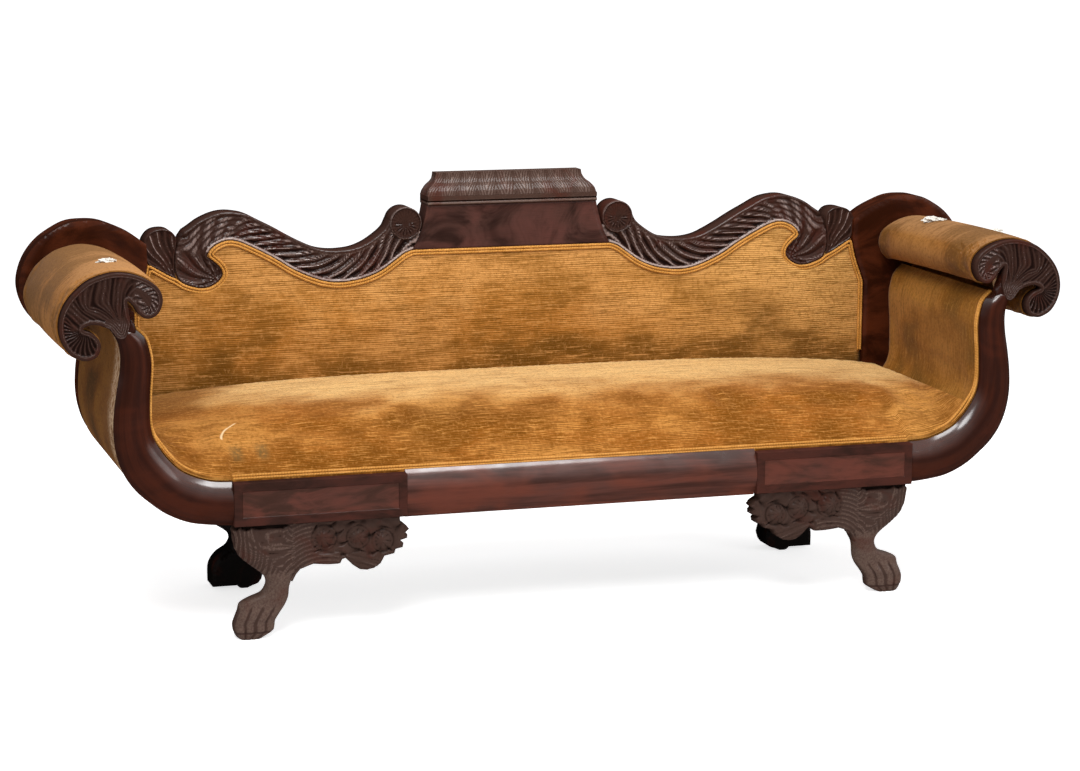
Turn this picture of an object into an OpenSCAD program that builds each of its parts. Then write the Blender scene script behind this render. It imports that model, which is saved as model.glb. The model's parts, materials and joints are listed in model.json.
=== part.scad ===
// Long sofa of the Classical period: carved crest, scrolled arms, paw legs and a tight sprung seat.
// X runs along the sofa, Y from front to back, Z up. The origin lies on the floor under its middle.
// Outlines are drawn for the right half, from the middle outwards; the left half mirrors it.

/* [Overall] */
// Depth from the face of the front rail to the back edge of the cap
sofa_depth = 600; // [570:5:660]
// Height of the underside of the front rail above the floor
rail_z = 246; // [240:2:270]

/* [Seat frame] */
// Half the length of the front rail, out to the ends of its flat blocks
block_reach = 750; // [720:5:820]
// Length of one flat block of the front rail
block_l = 363; // [340:5:390]
// Height of the flat blocks
block_h = 90; // [86:1:100]
// Height of the rounded moulding between the blocks
moulding_h = 100; // [92:1:108]
// Thickness of the facings: moulding, blocks, arm facings and scrolls
facing_t = 24; // [20:1:30]
// Width of the raised border round the field of a block
border_w = 18; // [12:1:26]
// Depth of the sunk field of a block
field_sink = 1.5; // [0.8:0.1:3]
// Thickness of the core of the front rail
core_t = 50; // [44:1:58]
// Thickness of the rear seat rail
rear_rail_t = 60; // [50:1:66]
// Width of a side rail of the seat
side_rail_w = 50; // [40:1:60]
// Set of the cores above the underside of the blocks
core_set = 2; // [1:0.5:4]
// Width of a seat brace
brace_w = 28; // [20:1:34]
// Height of a seat brace
brace_h = 40; // [30:1:46]
// Leg of a triangular corner block
corner_leg = 60; // [40:1:66]
// Height of a corner block
corner_h = 66; // [50:1:76]

/* [Arms] */
// Run of an arm from the end of the block out to its widest point
arm_run = 238; // [225:1:255]
// Rise of an arm facing from the underside of the rail to the neck of the scroll
arm_rise = 404; // [390:1:425]
// Width of an arm scroll
scroll_w = 207; // [195:1:220]
// Height of an arm scroll
scroll_h = 173; // [165:1:185]
// Run from the end of the block out to the inner side of the scroll
scroll_run = 137; // [134:1:142]
// Rise from the underside of the rail to the lowest point of the scroll
scroll_rise = 356; // [353:1:366]
// Thickness of an arm stump behind the facing
stump_t = 32; // [26:1:40]
// Thickness of a rear post
post_t = 68; // [56:1:72]
// Width of the round head of a rear post
head_w = 277; // [265:1:290]
// Height of the round head of a rear post
head_h = 246; // [240:1:255]
// Width of the neck slat inside an arm
neck_slat_w = 24; // [20:1:28]
// Height of the neck slat inside an arm
neck_slat_h = 36; // [30:1:40]

/* [Back] */
// Thickness of the crest rail and the tablet
crest_t = 56; // [50:1:62]
// Run from the end of the block out to the end of the back
back_run = 109; // [100:1:116]
// Set of the end of the crest inside the end of the back
crest_set = 27; // [20:1:34]
// Height of the crest rail from its lowest hollow to the top of its scroll
crest_h = 165; // [155:1:175]
// Height of the lowest hollow of the crest rail above the underside of the seat rail
crest_rise = 414; // [405:1:430]
// Radius of a rosette
rosette_r = 36; // [28:1:40]
// Half the width of the tablet along its lower edge
tablet_half = 232; // [220:1:236]
// Height of the tablet
tablet_h = 98; // [90:1:110]
// Set of the tablet's upper corners inside its lower ones
tablet_flare = 34; // [28:1:42]
// Height of the cap above the tablet
cap_h = 69; // [55:1:80]
// Height of the plain bead at the foot of the cap
cap_bead_h = 20; // [14:1:26]
// Depth of the cap, from its front lip to the back of the sofa
cap_d = 70; // [60:1:76]
// Lip of the cap in front of the tablet
cap_lip = 6; // [3:0.5:10]
// Thickness of the hidden frame of the back
frame_t = 40; // [34:1:44]
// Width of a stile at each end of the back
stile_w = 44; // [36:1:54]
// Height of the lower rail of the back
back_rail_h = 45; // [36:1:54]
// Height of the lower rail of the back above the top of the seat rail
back_rail_rise = 59; // [50:1:66]
// Width of an upright of the back
upright_w = 52; // [40:1:60]

/* [Feet] */
// Width of a front leg across its knee
leg_w = 138; // [128:1:150]
// Thickness of a front leg from front to back
leg_t = 58; // [50:1:64]
// Set of a front leg behind the face of the rail
leg_set = 8; // [4:1:14]
// Length of a fruit and leaf bracket beside a front leg
bracket_l = 232; // [215:1:250]
// Drop of a bracket below the rail
bracket_h = 111; // [100:1:120]
// Thickness of a bracket
bracket_t = 40; // [34:1:42]
// Radius of the middle fruit of a bracket
fruit_r = 22; // [16:1:25]
// Width of a rear foot
rear_foot_w = 154; // [140:1:160]
// Thickness of a rear foot
rear_foot_t = 70; // [56:1:76]
// Run of a rear foot in front of the rear seat rail
rear_foot_run = 37; // [20:1:44]

/* [Upholstery] */
// Thickness of the velvet
cover_t = 2.5; // [1.5:0.5:3.5]
// Thickness of the canvas, the dust cloth and the outer back cloth
cloth_t = 1.5; // [1:0.5:2.5]
// Thickness of the webbing
web_t = 2; // [1.5:0.5:2.5]
// Width of the webbing
web_w = 50; // [40:1:60]
// Padding on the inside of an arm
arm_pad_t = 14; // [10:1:16]
// Padding of an arm roll
roll_pad_t = 18; // [12:1:20]
// Crown of the back in front of its edges
back_crown = 14; // [8:1:15]
// Height of the seat at the back, above the top of the rail
seat_rise = 119; // [105:1:130]
// Fall of the seat from its middle to its ends
seat_fall = 27; // [15:1:36]
// Height of the spring canvas above the top of the rail
spring_rise = 45; // [36:1:48]
// Diameter of a seat spring
spring_d = 76; // [60:1:84]
// Wire of a seat spring
spring_wire = 4; // [3:0.5:5]
// Width of the braid along the edges of the velvet
braid_w = 12; // [8:1:14]
// Thickness of the braid
braid_t = 2.5; // [2:0.5:3]

/* [Fixings] */
// Running gap between a soft piece and its neighbour
soft_gap = 0.3; // [0.2:0.05:0.4]
// Gap round a tenon in its mortise
fit_gap = 0.2; // [0.1:0.05:0.3]
// Length of a tenon
tenon_l = 30; // [20:1:36]
// Thickness of a tenon
tenon_t = 16; // [10:1:18]
// Height of a tenon
tenon_h = 34; // [26:1:38]
// Diameter of a frame screw
screw_d = 5; // [4:0.5:6]
// Diameter of the head of a frame screw
screw_head_d = 10; // [8:0.5:12]
// Length of a frame screw
screw_l = 60; // [50:1:70]

/* [Hidden] */

// Steps that each stretch of a smooth outline is drawn in
curve_steps = 3;
// Overrun of a cut past the face that it opens
overrun = 1;
// Lap of the arm stumps and side rails behind the end of the block
core_lap = 5;
// Stand of a tenon from the edge of its rail
tenon_edge = 8;
// Height and length of the tenons of a side rail
side_tenon_h = 24;
side_tenon_l = 14;
// Length of the tenons of the lower rail of the back
back_tenon_l = 28;

// Planes from front to back, measured from the face of the front rail
stump_front = facing_t;
stump_back = facing_t + stump_t;
core_back = facing_t + core_t;
cap_front = sofa_depth - cap_d;
crest_front = cap_front + cap_lip;
frame_back = crest_front + crest_t;
frame_front = frame_back - frame_t;
post_front = frame_back - post_t;
rear_rail_front = frame_front - rear_rail_t;
rear_foot_front = rear_rail_front - rear_foot_run;

// Heights
core_z = rail_z + core_set;
rail_top = rail_z + block_h;
core_top = rail_top - 2 * core_set;
seat_top = rail_top + seat_rise;
crest_z = rail_z + crest_rise;
tablet_z = crest_z + 0.412 * crest_h;
tablet_top = tablet_z + tablet_h;
cap_top = tablet_top + cap_h;

// Unit vector along v
function along(v) = v / norm(v);
// Sum of a list of numbers
function total(v) = v * [for (x = v) 1];
// Points given as shares of a box of the given size that stands at the given corner
function placed(shares, corner, size) =
    [for (s = shares) [corner[0] + s[0] * size[0], corner[1] + s[1] * size[1]]];
// Point of a smooth curve between b and c, with a and d as its neighbours
function curve_point(a, b, c, d, t) =
    (2 * b + (c - a) * t + (2 * a - 5 * b + 4 * c - d) * t * t + (3 * b - a - 3 * c + d) * t * t * t) / 2;
// Smooth open curve through the points p
function smooth_open(p, n = curve_steps) =
    let (last = len(p) - 1)
    [
        for (i = [0 : last - 1]) for (k = [0 : n - 1])
            curve_point(p[max(i - 1, 0)], p[i], p[i + 1], p[min(i + 2, last)], k / n),
        p[last]
    ];
// Smooth closed curve through the points p
function smooth_closed(p, n = curve_steps) =
    let (m = len(p))
    [
        for (i = [0 : m - 1]) for (k = [0 : n - 1])
            curve_point(p[(i + m - 1) % m], p[i], p[(i + 1) % m], p[(i + 2) % m], k / n)
    ];
// Normal to the left of the path p at its point i
function left_normal(p, i) =
    let (t = along(p[min(i + 1, len(p) - 1)] - p[max(i - 1, 0)]))
    [-t[1], t[0]];
// The path p moved to its left by d
function shifted(p, d) = [for (i = [0 : len(p) - 1]) p[i] + d * left_normal(p, i)];
// The closed outline p moved to its left by d
function shifted_closed(p, d) =
    let (m = len(p))
    [
        for (i = [0 : m - 1])
            let (t = along(p[(i + 1) % m] - p[(i + m - 1) % m]))
            p[i] + d * [-t[1], t[0]]
    ];
// The path p run the other way
function turned(p) = [for (i = [len(p) - 1 : -1 : 0]) p[i]];
// Part of the path p from point a to point b
function stretch(p, a, b) = [for (i = [a : b]) p[i]];
// Smooth rise from 0 to 1 as t goes from 0 to 1
function ease(t) = let (c = min(max(t, 0), 1)) c * c * (3 - 2 * c);

// A board cut to the outline of its children, which is drawn in X and Z
module board(y, t) {
    translate([0, y + t, 0]) rotate([90, 0, 0]) linear_extrude(t) children();
}
// The children moved so that the sofa's depth is centred
module in_depth() {
    translate([0, -sofa_depth / 2, 0]) children();
}
// The children as drawn on the right, or mirrored to the left
module on_side(side) {
    mirror([side < 0 ? 1 : 0, 0, 0]) children();
}
// The children on both sides
module both_sides() {
    for (side = [-1, 1]) on_side(side) children();
}
// Box given by its lowest and highest corner
module block_between(low, high) {
    translate(low) cube(high - low);
}

// Triangles of a closed slab whose front and back are grids of the same size
function slab_faces(rows, cols) =
    let (n = rows * cols)
    concat(
        [
            for (j = [0 : rows - 2]) for (i = [0 : cols - 2])
                let (a = j * cols + i, b = a + 1, c = a + cols + 1, d = a + cols)
                each [[a, b, c], [a, c, d], [n + a, n + c, n + b], [n + a, n + d, n + c]]
        ],
        [
            for (i = [0 : cols - 2])
                let (a = i, b = i + 1, d = (rows - 1) * cols + i, c = d + 1)
                each [[b, a, n + a], [b, n + a, n + b], [d, c, n + c], [d, n + c, n + d]]
        ],
        [
            for (j = [0 : rows - 2])
                let (a = j * cols, d = a + cols, b = a + cols - 1, c = d + cols - 1)
                each [[a, d, n + d], [a, n + d, n + a], [c, b, n + b], [c, n + b, n + c]]
        ]
    );
// A closed solid from points and triangles, turned so that its faces point outwards
module closed_form(points, faces) {
    volume = total([for (f = faces) points[f[0]] * cross(points[f[1]], points[f[2]])]);
    polyhedron(points, volume > 0 ? [for (f = faces) [f[2], f[1], f[0]]] : faces);
}
// A soft or moulded slab between two grids of points
module slab(front, back) {
    points = concat([for (row = front) each row], [for (row = back) each row]);
    closed_form(points, slab_faces(len(front), len(front[0])));
}

// Outlines of the arms
// Outer edge of an arm facing, from the end of the block up to the neck
facing_outer_shares = [
    [0, 0], [0.19, 0.01], [0.38, 0.03], [0.56, 0.077], [0.705, 0.14], [0.83, 0.21], [0.92, 0.29],
    [0.975, 0.38], [1, 0.48], [0.995, 0.59], [0.97, 0.7], [0.94, 0.8], [0.93, 0.88], [0.945, 0.95],
    [0.99, 1.005]
];
// Inner edge of an arm facing, from the top of the block up to the neck
facing_inner_shares = [
    [0, 0], [0.17, 0.01], [0.32, 0.045], [0.445, 0.095], [0.545, 0.17], [0.62, 0.25], [0.67, 0.33],
    [0.69, 0.425], [0.69, 0.52], [0.685, 0.62], [0.675, 0.715], [0.67, 0.81], [0.685, 0.89],
    [0.72, 0.97], [0.8, 1.03]
];
// Outline of an arm scroll: inner curl, dome, outer curl and its slit, then the neck and its tongue
scroll_shares = [
    [0.34, 0.67], [0.28, 0.6], [0.24, 0.52], [0.165, 0.46], [0.08, 0.48], [0.025, 0.555], [0, 0.66],
    [0.02, 0.77], [0.08, 0.855], [0.19, 0.935], [0.315, 0.985], [0.45, 1], [0.575, 0.975], [0.71, 0.915],
    [0.835, 0.8], [0.93, 0.665], [0.985, 0.52], [1, 0.36], [0.97, 0.21], [0.9, 0.08], [0.8, 0.01],
    [0.725, 0], [0.65, 0.035], [0.615, 0.1], [0.605, 0.175], [0.63, 0.255], [0.69, 0.32], [0.77, 0.365],
    [0.71, 0.41], [0.625, 0.405], [0.545, 0.37], [0.475, 0.335], [0.4, 0.31], [0.35, 0.35], [0.32, 0.43],
    [0.33, 0.555]
];
// Count of the points of the scroll's outline that the velvet of the roll follows
roll_points = 28;
// First and last of those points that the padding of the roll follows
roll_pad_first = 3;
roll_pad_last = 22;
// Round head of a rear post, from its neck on the outer side over the top to the crest
head_shares = [
    [0.54, 0.015], [0.635, 0.01], [0.77, 0.05], [0.895, 0.145], [0.97, 0.285], [1, 0.44], [0.98, 0.585],
    [0.925, 0.72], [0.84, 0.835], [0.735, 0.92], [0.615, 0.985], [0.49, 1], [0.37, 0.99], [0.255, 0.945],
    [0.125, 0.875], [0.007, 0.78]
];
// Reach of the post's head past the scroll, outwards and upwards
head_reach = 11;
head_lift = 41;
// Thickness of a moulded facing along its edges
facing_edge = 3;
// Angle of the arc across a moulded facing, from its crown to an edge
facing_arc = 51;
// Set of the outside cover of an arm behind the edge of the facing
cover_set = 3;
// Stand of the padded inside of an arm past the edge of the facing, and its crown in the middle
pad_proud = 0.5;
pad_crown = 1.5;
// Set of the padded inside of an arm in front of the rear post
pad_back_set = 18;
// Set of the stump's head inside the scroll
stump_set = 5;
// Section of the slats inside a roll, and the depth of their mortises
roll_slat_w = 18;
roll_slat_h = 24;
slat_mortise = 10;
// Centres of those slats in the scroll, and of the neck slat in the arm
roll_slat_shares = [[0.184, 0.66], [0.45, 0.73], [0.816, 0.29]];
neck_slat_shares = [0.832, 0.896];
// Fall of the padding of a roll towards the back, and its crown in the middle
roll_sag = 9;
roll_crown = 2.5;

outer_path = smooth_open(placed(facing_outer_shares, [block_reach, rail_z], [arm_run, arm_rise]));
inner_path = smooth_open(
    placed(facing_inner_shares, [block_reach, rail_top], [arm_run, arm_rise - block_h])
);
scroll_corner = [block_reach + scroll_run, rail_z + scroll_rise];
scroll_size = [scroll_w, scroll_h];
scroll_points = placed(scroll_shares, scroll_corner, scroll_size);
scroll_path = smooth_closed(scroll_points);
roll_path = stretch(scroll_points, 0, roll_points - 1);
head_corner = scroll_corner + scroll_size + [head_reach - head_w, head_lift - head_h];
head_path = smooth_open(placed(head_shares, head_corner, [head_w, head_h]));

// Outlines of the back
// Half the width of the back between the rear posts, and the length of one half of the crest
back_half = block_reach + back_run;
crest_l = back_half - crest_set - tablet_half;
// Half the width of the tablet along its upper edge
tablet_top_half = tablet_half - tablet_flare;
// Lower edge of the crest rail from the tablet out to the tip of its hook
crest_lower_shares = [
    [0, 0.412], [0.033, 0.365], [0.075, 0.255], [0.12, 0.145], [0.172, 0.065], [0.222, 0.025],
    [0.277, 0.005], [0.335, 0.03], [0.395, 0.103], [0.458, 0.212], [0.513, 0.34], [0.57, 0.455],
    [0.622, 0.55], [0.658, 0.605], [0.692, 0.625], [0.723, 0.6], [0.75, 0.545], [0.765, 0.485],
    [0.773, 0.42]
];
// Underside of the hook and the end scroll, out to the ear
crest_hook_shares = [
    [0.753, 0.365], [0.73, 0.29], [0.718, 0.22], [0.718, 0.145], [0.737, 0.067], [0.765, 0.012],
    [0.797, 0], [0.835, 0.03], [0.875, 0.105], [0.89, 0.24], [0.89, 0.425], [0.88, 0.575], [0.867, 0.685]
];
// Upper edge of the crest rail from the end scroll back to the rosette
crest_upper_shares = [
    [0.853, 0.757], [0.83, 0.81], [0.793, 0.9], [0.743, 0.975], [0.697, 1], [0.648, 0.98], [0.613, 0.94],
    [0.568, 0.855], [0.512, 0.75], [0.457, 0.635], [0.41, 0.545], [0.363, 0.47], [0.313, 0.435],
    [0.263, 0.435], [0.217, 0.46], [0.172, 0.525], [0.132, 0.62], [0.102, 0.715], [0.087, 0.825]
];
// Centre of a rosette, and the foot of the crest rail against the tablet
rosette_share = [0.0275, 0.776];
crest_foot_share = [-0.028, 0.636];
// Outline of the ear at the end of the crest rail
ear_shares = [
    [0.875, 0.105], [0.917, 0.19], [0.953, 0.268], [0.988, 0.345], [1, 0.485], [1.003, 0.625],
    [0.988, 0.727], [0.967, 0.782], [0.94, 0.8], [0.913, 0.788], [0.892, 0.733], [0.878, 0.642],
    [0.863, 0.425], [0.863, 0.182]
];
// Upper edge of the velvet of the back under the crest rail, from the tablet out to the post
panel_top_shares = [
    [0, 0.412], [0.033, 0.365], [0.075, 0.255], [0.12, 0.145], [0.172, 0.065], [0.222, 0.025],
    [0.277, 0.005], [0.335, 0.03], [0.395, 0.103], [0.458, 0.212], [0.513, 0.34], [0.57, 0.455],
    [0.622, 0.55], [0.658, 0.605], [0.692, 0.622], [0.711, 0.6], [0.715, 0.13], [0.737, 0.06],
    [0.765, 0.005], [0.797, -0.008], [0.835, 0.022], [0.875, 0.095], [0.917, 0.18], [0.953, 0.26],
    [0.988, 0.335]
];
// Outline of the velvet in the pocket inside the crest's hook
hook_pocket_shares = [
    [0.711, 0.6], [0.727, 0.588], [0.748, 0.54], [0.762, 0.485], [0.769, 0.425], [0.75, 0.372],
    [0.727, 0.295], [0.715, 0.225], [0.715, 0.13], [0.711, 0.13]
];
// Side of the back where it leans in beside the post, as shares of the stile's width and the crest's height
panel_side_shares = [[0, -0.255], [-0.34, -0.02], [-0.57, 0.18], [-0.7, 0.35]];
// Flank of the tablet from its foot to its top, as shares of the flare and the height
tablet_flank_shares = [[0, 0], [0.35, 0.22], [0.66, 0.5], [0.88, 0.78], [1, 1]];
// Front of the cap above its bead, as shares of the fall back and the height
cap_ovolo_shares = [[0, 0], [0.12, 0.22], [0.4, 0.42], [0.72, 0.58], [0.92, 0.78], [1, 1]];
// Fall back of the cap's top from its bead
cap_fall = 28;
// Tuck of the velvet of the back below the seat
panel_tuck = 40;
// Rows of the grid of the back
panel_row_shares = [0, 0.3, 0.55, 0.75, 0.92, 1];

function on_crest(shares) = placed(shares, [tablet_half, crest_z], [crest_l, crest_h]);
crest_lower_path = smooth_open(on_crest(crest_lower_shares));
crest_hook_path = smooth_open(on_crest(crest_hook_shares));
crest_upper_path = smooth_open(on_crest(crest_upper_shares));
rosette_at = on_crest([rosette_share])[0];
panel_side = placed(panel_side_shares, [back_half, crest_z], [stile_w, crest_h]);
panel_bottom = seat_top - panel_tuck;
panel_top_right = concat(on_crest(panel_top_shares), turned(panel_side));
panel_top = concat([for (p = turned(panel_top_right)) [-p[0], p[1]]], panel_top_right);

// Outlines of the legs
leg_x = block_reach - leg_w;
leg_outer_shares = [
    [1, 1], [0.993, 0.9], [0.964, 0.805], [0.89, 0.72], [0.754, 0.65], [0.616, 0.59], [0.522, 0.54],
    [0.486, 0.488], [0.507, 0.435], [0.58, 0.386], [0.754, 0.35], [0.884, 0.31], [0.92, 0.248],
    [0.964, 0.187], [0.993, 0.134], [0.978, 0.073], [0.935, 0.024], [0.89, 0]
];
leg_inner_shares = [
    [0.565, 0], [0.464, 0.033], [0.377, 0.065], [0.355, 0.106], [0.34, 0.154], [0.275, 0.211],
    [0.196, 0.272], [0.145, 0.341], [0.13, 0.435], [0.1, 0.496], [0.058, 0.561], [0, 0.598]
];
// Side view of a front leg, as shares of its thickness and its height
leg_side_shares = [
    [0, 1], [0, 0.62], [0.08, 0.52], [0.22, 0.42], [0.3, 0.3], [0.26, 0.18], [0.28, 0.08], [0.36, 0],
    [1, 0], [1, 1]
];
bracket_shares = [
    [1, 0.108], [0.935, 0.153], [0.88, 0.19], [0.746, 0.162], [0.634, 0.162], [0.616, 0.234],
    [0.586, 0.252], [0.556, 0.19], [0.517, 0.108], [0.453, 0.018], [0.388, 0], [0.323, 0.027],
    [0.263, 0.108], [0.228, 0.243], [0.138, 0.28], [0.125, 0.36], [0.06, 0.387], [0.052, 0.468],
    [0.082, 0.523], [0.017, 0.559], [0.017, 0.63], [0.034, 0.667], [0, 0.73], [0.03, 0.81],
    [0.082, 0.874], [0.086, 1], [1, 1]
];
// Centres of the fruits in the bracket, with their sizes as shares of the middle one
fruit_shares = [[0.78, 0.667, 1.1], [0.47, 0.64, 1], [0.246, 0.54, 0.95]];
// Depth of a fruit's centre behind the face of the bracket, as a share of its radius
fruit_sink_share = 0.75;
rear_foot_outer_shares = [
    [0.974, 1], [0.955, 0.806], [0.857, 0.694], [0.708, 0.605], [0.558, 0.54], [0.455, 0.476],
    [0.422, 0.411], [0.48, 0.351], [0.61, 0.298], [0.695, 0.234], [0.734, 0.161], [0.734, 0.028]
];
rear_foot_inner_shares = [
    [0.383, 0.028], [0.35, 0.008], [0.318, 0], [0.234, 0], [0.201, 0.008], [0.156, 0.02], [0.078, 0.036],
    [0.032, 0.073], [0, 0.137], [0.04, 0.242], [0.104, 0.363], [0.117, 0.484], [0.085, 0.605],
    [0.065, 0.726], [0.065, 1]
];
// Dowels of a foot: their places along it, diameter and length in each piece
foot_dowel_shares = [0.3, 0.72];
foot_dowel_d = 16;
foot_dowel_l = 30;

// Webbing and springs
spring_cols = 8;
spring_rows = 3;
// Spacing of the springs along the seat, as a share of the block's reach
spring_step = 0.22 * block_reach;
spring_ys = [for (k = [0 : spring_rows - 1])
    core_back + (rear_rail_front - core_back) * (k + 0.5) / spring_rows];
spring_xs = [for (k = [0 : spring_cols - 1]) spring_step * (k - (spring_cols - 1) / 2)];
// Turns of a spring, and its waist as a share of its diameter
spring_turns = 3;
spring_waist_share = 0.72;
// Points round a turn, and sides of the wire
spring_turn_points = 8;
wire_sides = 4;
// Margin between the webbing and what it passes beside
web_margin = 0.5;

// Half the length of the seat between the padded arms, part of the way out along their sweep
seat_half = block_reach + 0.597 * arm_run;
// Columns of the seat's grid, from the middle out
seat_col_shares = [0, 0.12, 0.24, 0.36, 0.48, 0.6, 0.72, 0.81, 0.86, 0.9, 0.94, 0.97, 1];
// How full the front of the seat is: 1 is a straight slope
seat_round = 4.5;
// Half the width of the back along the seat, where the seat's fall is measured
seat_fall_half = 0.96 * back_half;
// Width over which the spring canvas rises from the rails
canvas_rise_w = 30;
// Lift of the seat's bed over the padded arms
bed_lift = 5;
// Clearance of the velvet of the back under the crest rail
panel_clear = 2;

seat_front = facing_t + soft_gap;
seat_back = crest_front - back_crown - soft_gap;
seat_xs = [
    each [for (s = turned(seat_col_shares)) -s * seat_half],
    each [for (i = [1 : len(seat_col_shares) - 1]) seat_col_shares[i] * seat_half]
];
seat_ys = concat(
    [seat_front, seat_front + 0.4 * (core_back - seat_front), core_back],
    [for (s = [0, 0.35, 0.7, 1])
        core_back + canvas_rise_w + s * (rear_rail_front - core_back - 2 * canvas_rise_w)],
    [rear_rail_front, seat_back]
);
// Height of the arm's inner edge at the distance x from the middle
function arm_edge_z(x) =
    abs(x) <= block_reach ? rail_top : lookup(abs(x), stretch(inner_path, 0, 6 * curve_steps));
// Height of the underside of the spring canvas
function canvas_z(x, y) =
    core_top + spring_rise
        * ease((y - core_back) / canvas_rise_w) * ease((rear_rail_front - y) / canvas_rise_w)
        * ease((block_reach - abs(x)) / canvas_rise_w);
// Height of the underside of the seat's stuffing
function bed_z(x, y) =
    max(canvas_z(x, y) + cloth_t + soft_gap, abs(x) > block_reach ? arm_edge_z(x) + bed_lift : 0);
// Height of the top of the velvet
function seat_z(x, y) =
    let (
        low = max(arm_edge_z(x), bed_z(x, seat_front) + cover_t) + cover_t,
        high = seat_top - seat_fall * pow(abs(x) / seat_fall_half, 4),
        t = (y - seat_front) / (seat_back - seat_front)
    )
    low + max(high - low, 0) * (1 - pow(1 - t, seat_round));
// Grid over the seat at the heights that the rule z gives
function seat_grid(rule) = [for (y = seat_ys) [for (x = seat_xs) [x, y, rule(x, y)]]];

// How far the back's crown stands forward at x, at the share v of its height
function back_bulge(x, v) =
    back_crown * (1 - pow(min(abs(x) / back_half, 1), 6)) * ease((1 - v) / 0.45);
// Grid over the back at the depth y, with its crown where full is 1
function back_grid(y, full) = [
    for (v = panel_row_shares) [
        for (p = panel_top)
            [
                p[0] * (1 - soft_gap / back_half),
                y - full * back_bulge(p[0], v),
                panel_bottom + v * (p[1] - panel_bottom - panel_clear)
            ]
    ]
];
// Share of the way along an arm at the depth y
function arm_share(y) = (y - stump_front) / (post_front - stump_front);
// Grid along the path p at the depths ys, moved to its left by d plus a crown, falling towards the back
function arm_grid(p, ys, d, crown, sag) = [
    for (y = ys)
        let (t = arm_share(y), last = len(p) - 1)
        [
            for (i = [0 : last])
                let (
                    rise = d + crown * sin(180 * t) * pow(sin(180 * i / last), 2),
                    q = p[i] + rise * left_normal(p, i)
                )
                [q[0], y, q[1] - sag * t * t]
        ]
];
// Columns a to b of a grid
function columns(grid, a, b) = [for (row = grid) stretch(row, a, b)];
// Every second point of the path p from point a
function thinned(p, a) = [for (i = [a : 2 : len(p) - 1]) p[i]];
// Depths of the rings of the padding and the velvet of an arm
arm_ring_shares = [0.18, 0.45, 0.75];
arm_mid_ys = [for (s = arm_ring_shares) stump_back + s * (post_front - stump_back)];
roll_pad_ys = concat([stump_back + soft_gap], arm_mid_ys, [post_front - soft_gap]);
roll_cover_ys = concat([stump_front + soft_gap], roll_pad_ys);
inside_ys = concat([stump_front + soft_gap], arm_mid_ys, [post_front - pad_back_set]);
outside_ys = [stump_front + soft_gap, post_front - soft_gap];

// Profile across a moulded facing: share of the way across from -1 to 1, and share of the crown's height
arc_steps = 6;
function arc_profile() = [
    for (k = [0 : arc_steps])
        let (a = facing_arc * (2 * k / arc_steps - 1))
        [sin(a) / sin(facing_arc), (cos(a) - cos(facing_arc)) / (1 - cos(facing_arc))]
];

// Tenon between two pieces: a block whose box is given by its centre and its size
module tenon(centre, size, gap = 0) {
    translate(centre) cube(size + 2 * gap * [1, 1, 1], center = true);
}
// Tenon at the end of the front rail's core, in the arm stump
module core_tenon(gap = 0) {
    tenon(
        [
            block_reach - core_lap + tenon_l / 2, stump_front + stump_t / 2,
            core_z + tenon_h / 2 + tenon_edge
        ],
        [tenon_l, tenon_t, tenon_h], gap
    );
}
// Tenon at the end of the rear seat rail, in the rear post
module rear_tenon(gap = 0) {
    tenon(
        [
            block_reach - core_lap + tenon_l / 2, (post_front + frame_front) / 2,
            core_z + tenon_h / 2 + tenon_edge
        ],
        [tenon_l, tenon_t, tenon_h], gap
    );
}
// Tenons at the ends of a side rail, in the stump and in the post
module side_tenons(gap = 0) {
    x = block_reach - core_lap + side_rail_w / 2;
    z = core_top - side_tenon_h / 2 - tenon_edge;
    tenon([x, stump_back - side_tenon_l / 2, z], [side_rail_w / 2, side_tenon_l, side_tenon_h], gap);
    tenon([x, post_front + side_tenon_l / 2, z], [side_rail_w / 2, side_tenon_l, side_tenon_h], gap);
}
// Slats inside an arm, each run into its mortises
module slats(gap = 0) {
    y0 = stump_back - slat_mortise - gap;
    y1 = post_front + slat_mortise + gap;
    for (c = placed(roll_slat_shares, scroll_corner, scroll_size))
        translate([c[0], (y0 + y1) / 2, c[1]])
            cube([roll_slat_w + 2 * gap, y1 - y0, roll_slat_h + 2 * gap], center = true);
    neck = placed([neck_slat_shares], [block_reach, rail_z], [arm_run, arm_rise])[0];
    translate([neck[0], (y0 + y1) / 2, neck[1]])
        cube([neck_slat_w + 2 * gap, y1 - y0, neck_slat_h + 2 * gap], center = true);
}
// Dowels between a foot and the rail above it
module dowels(x, width, y, gap) {
    for (s = foot_dowel_shares)
        translate([x + s * width, y, core_z - foot_dowel_l - gap])
            cylinder(h = 2 * (foot_dowel_l + gap), d = foot_dowel_d + 2 * gap, $fn = 48);
}
module front_dowels(gap = fit_gap) {
    dowels(leg_x, leg_w, (facing_t + leg_set + leg_t) / 2, gap);
}
module rear_dowels(gap = fit_gap) {
    dowels(rear_foot_x, rear_foot_w, (rear_rail_front + rear_foot_front + rear_foot_t) / 2, gap);
}

// Core of the front rail, with its tenons
module front_rail_core() {
    half = block_reach - core_lap;
    color("burlywood") in_depth() difference() {
        union() {
            block_between([-half, facing_t, core_z], [half, core_back, core_top]);
            both_sides() core_tenon();
        }
        both_sides() front_dowels();
    }
}
// Rounded moulding between the blocks of the front rail
module front_rail_moulding() {
    sag = facing_t - facing_edge;
    half = moulding_h / 2;
    radius = (half * half + sag * sag) / (2 * sag);
    span = 2 * (block_reach - block_l);
    color("saddlebrown") in_depth() translate([-span / 2, 0, rail_z + block_h / 2])
        rotate([90, 0, 90]) linear_extrude(span) intersection() {
            translate([radius, 0]) circle(radius, $fn = 96);
            translate([0, -half]) square([facing_t, moulding_h]);
        }
}
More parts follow.
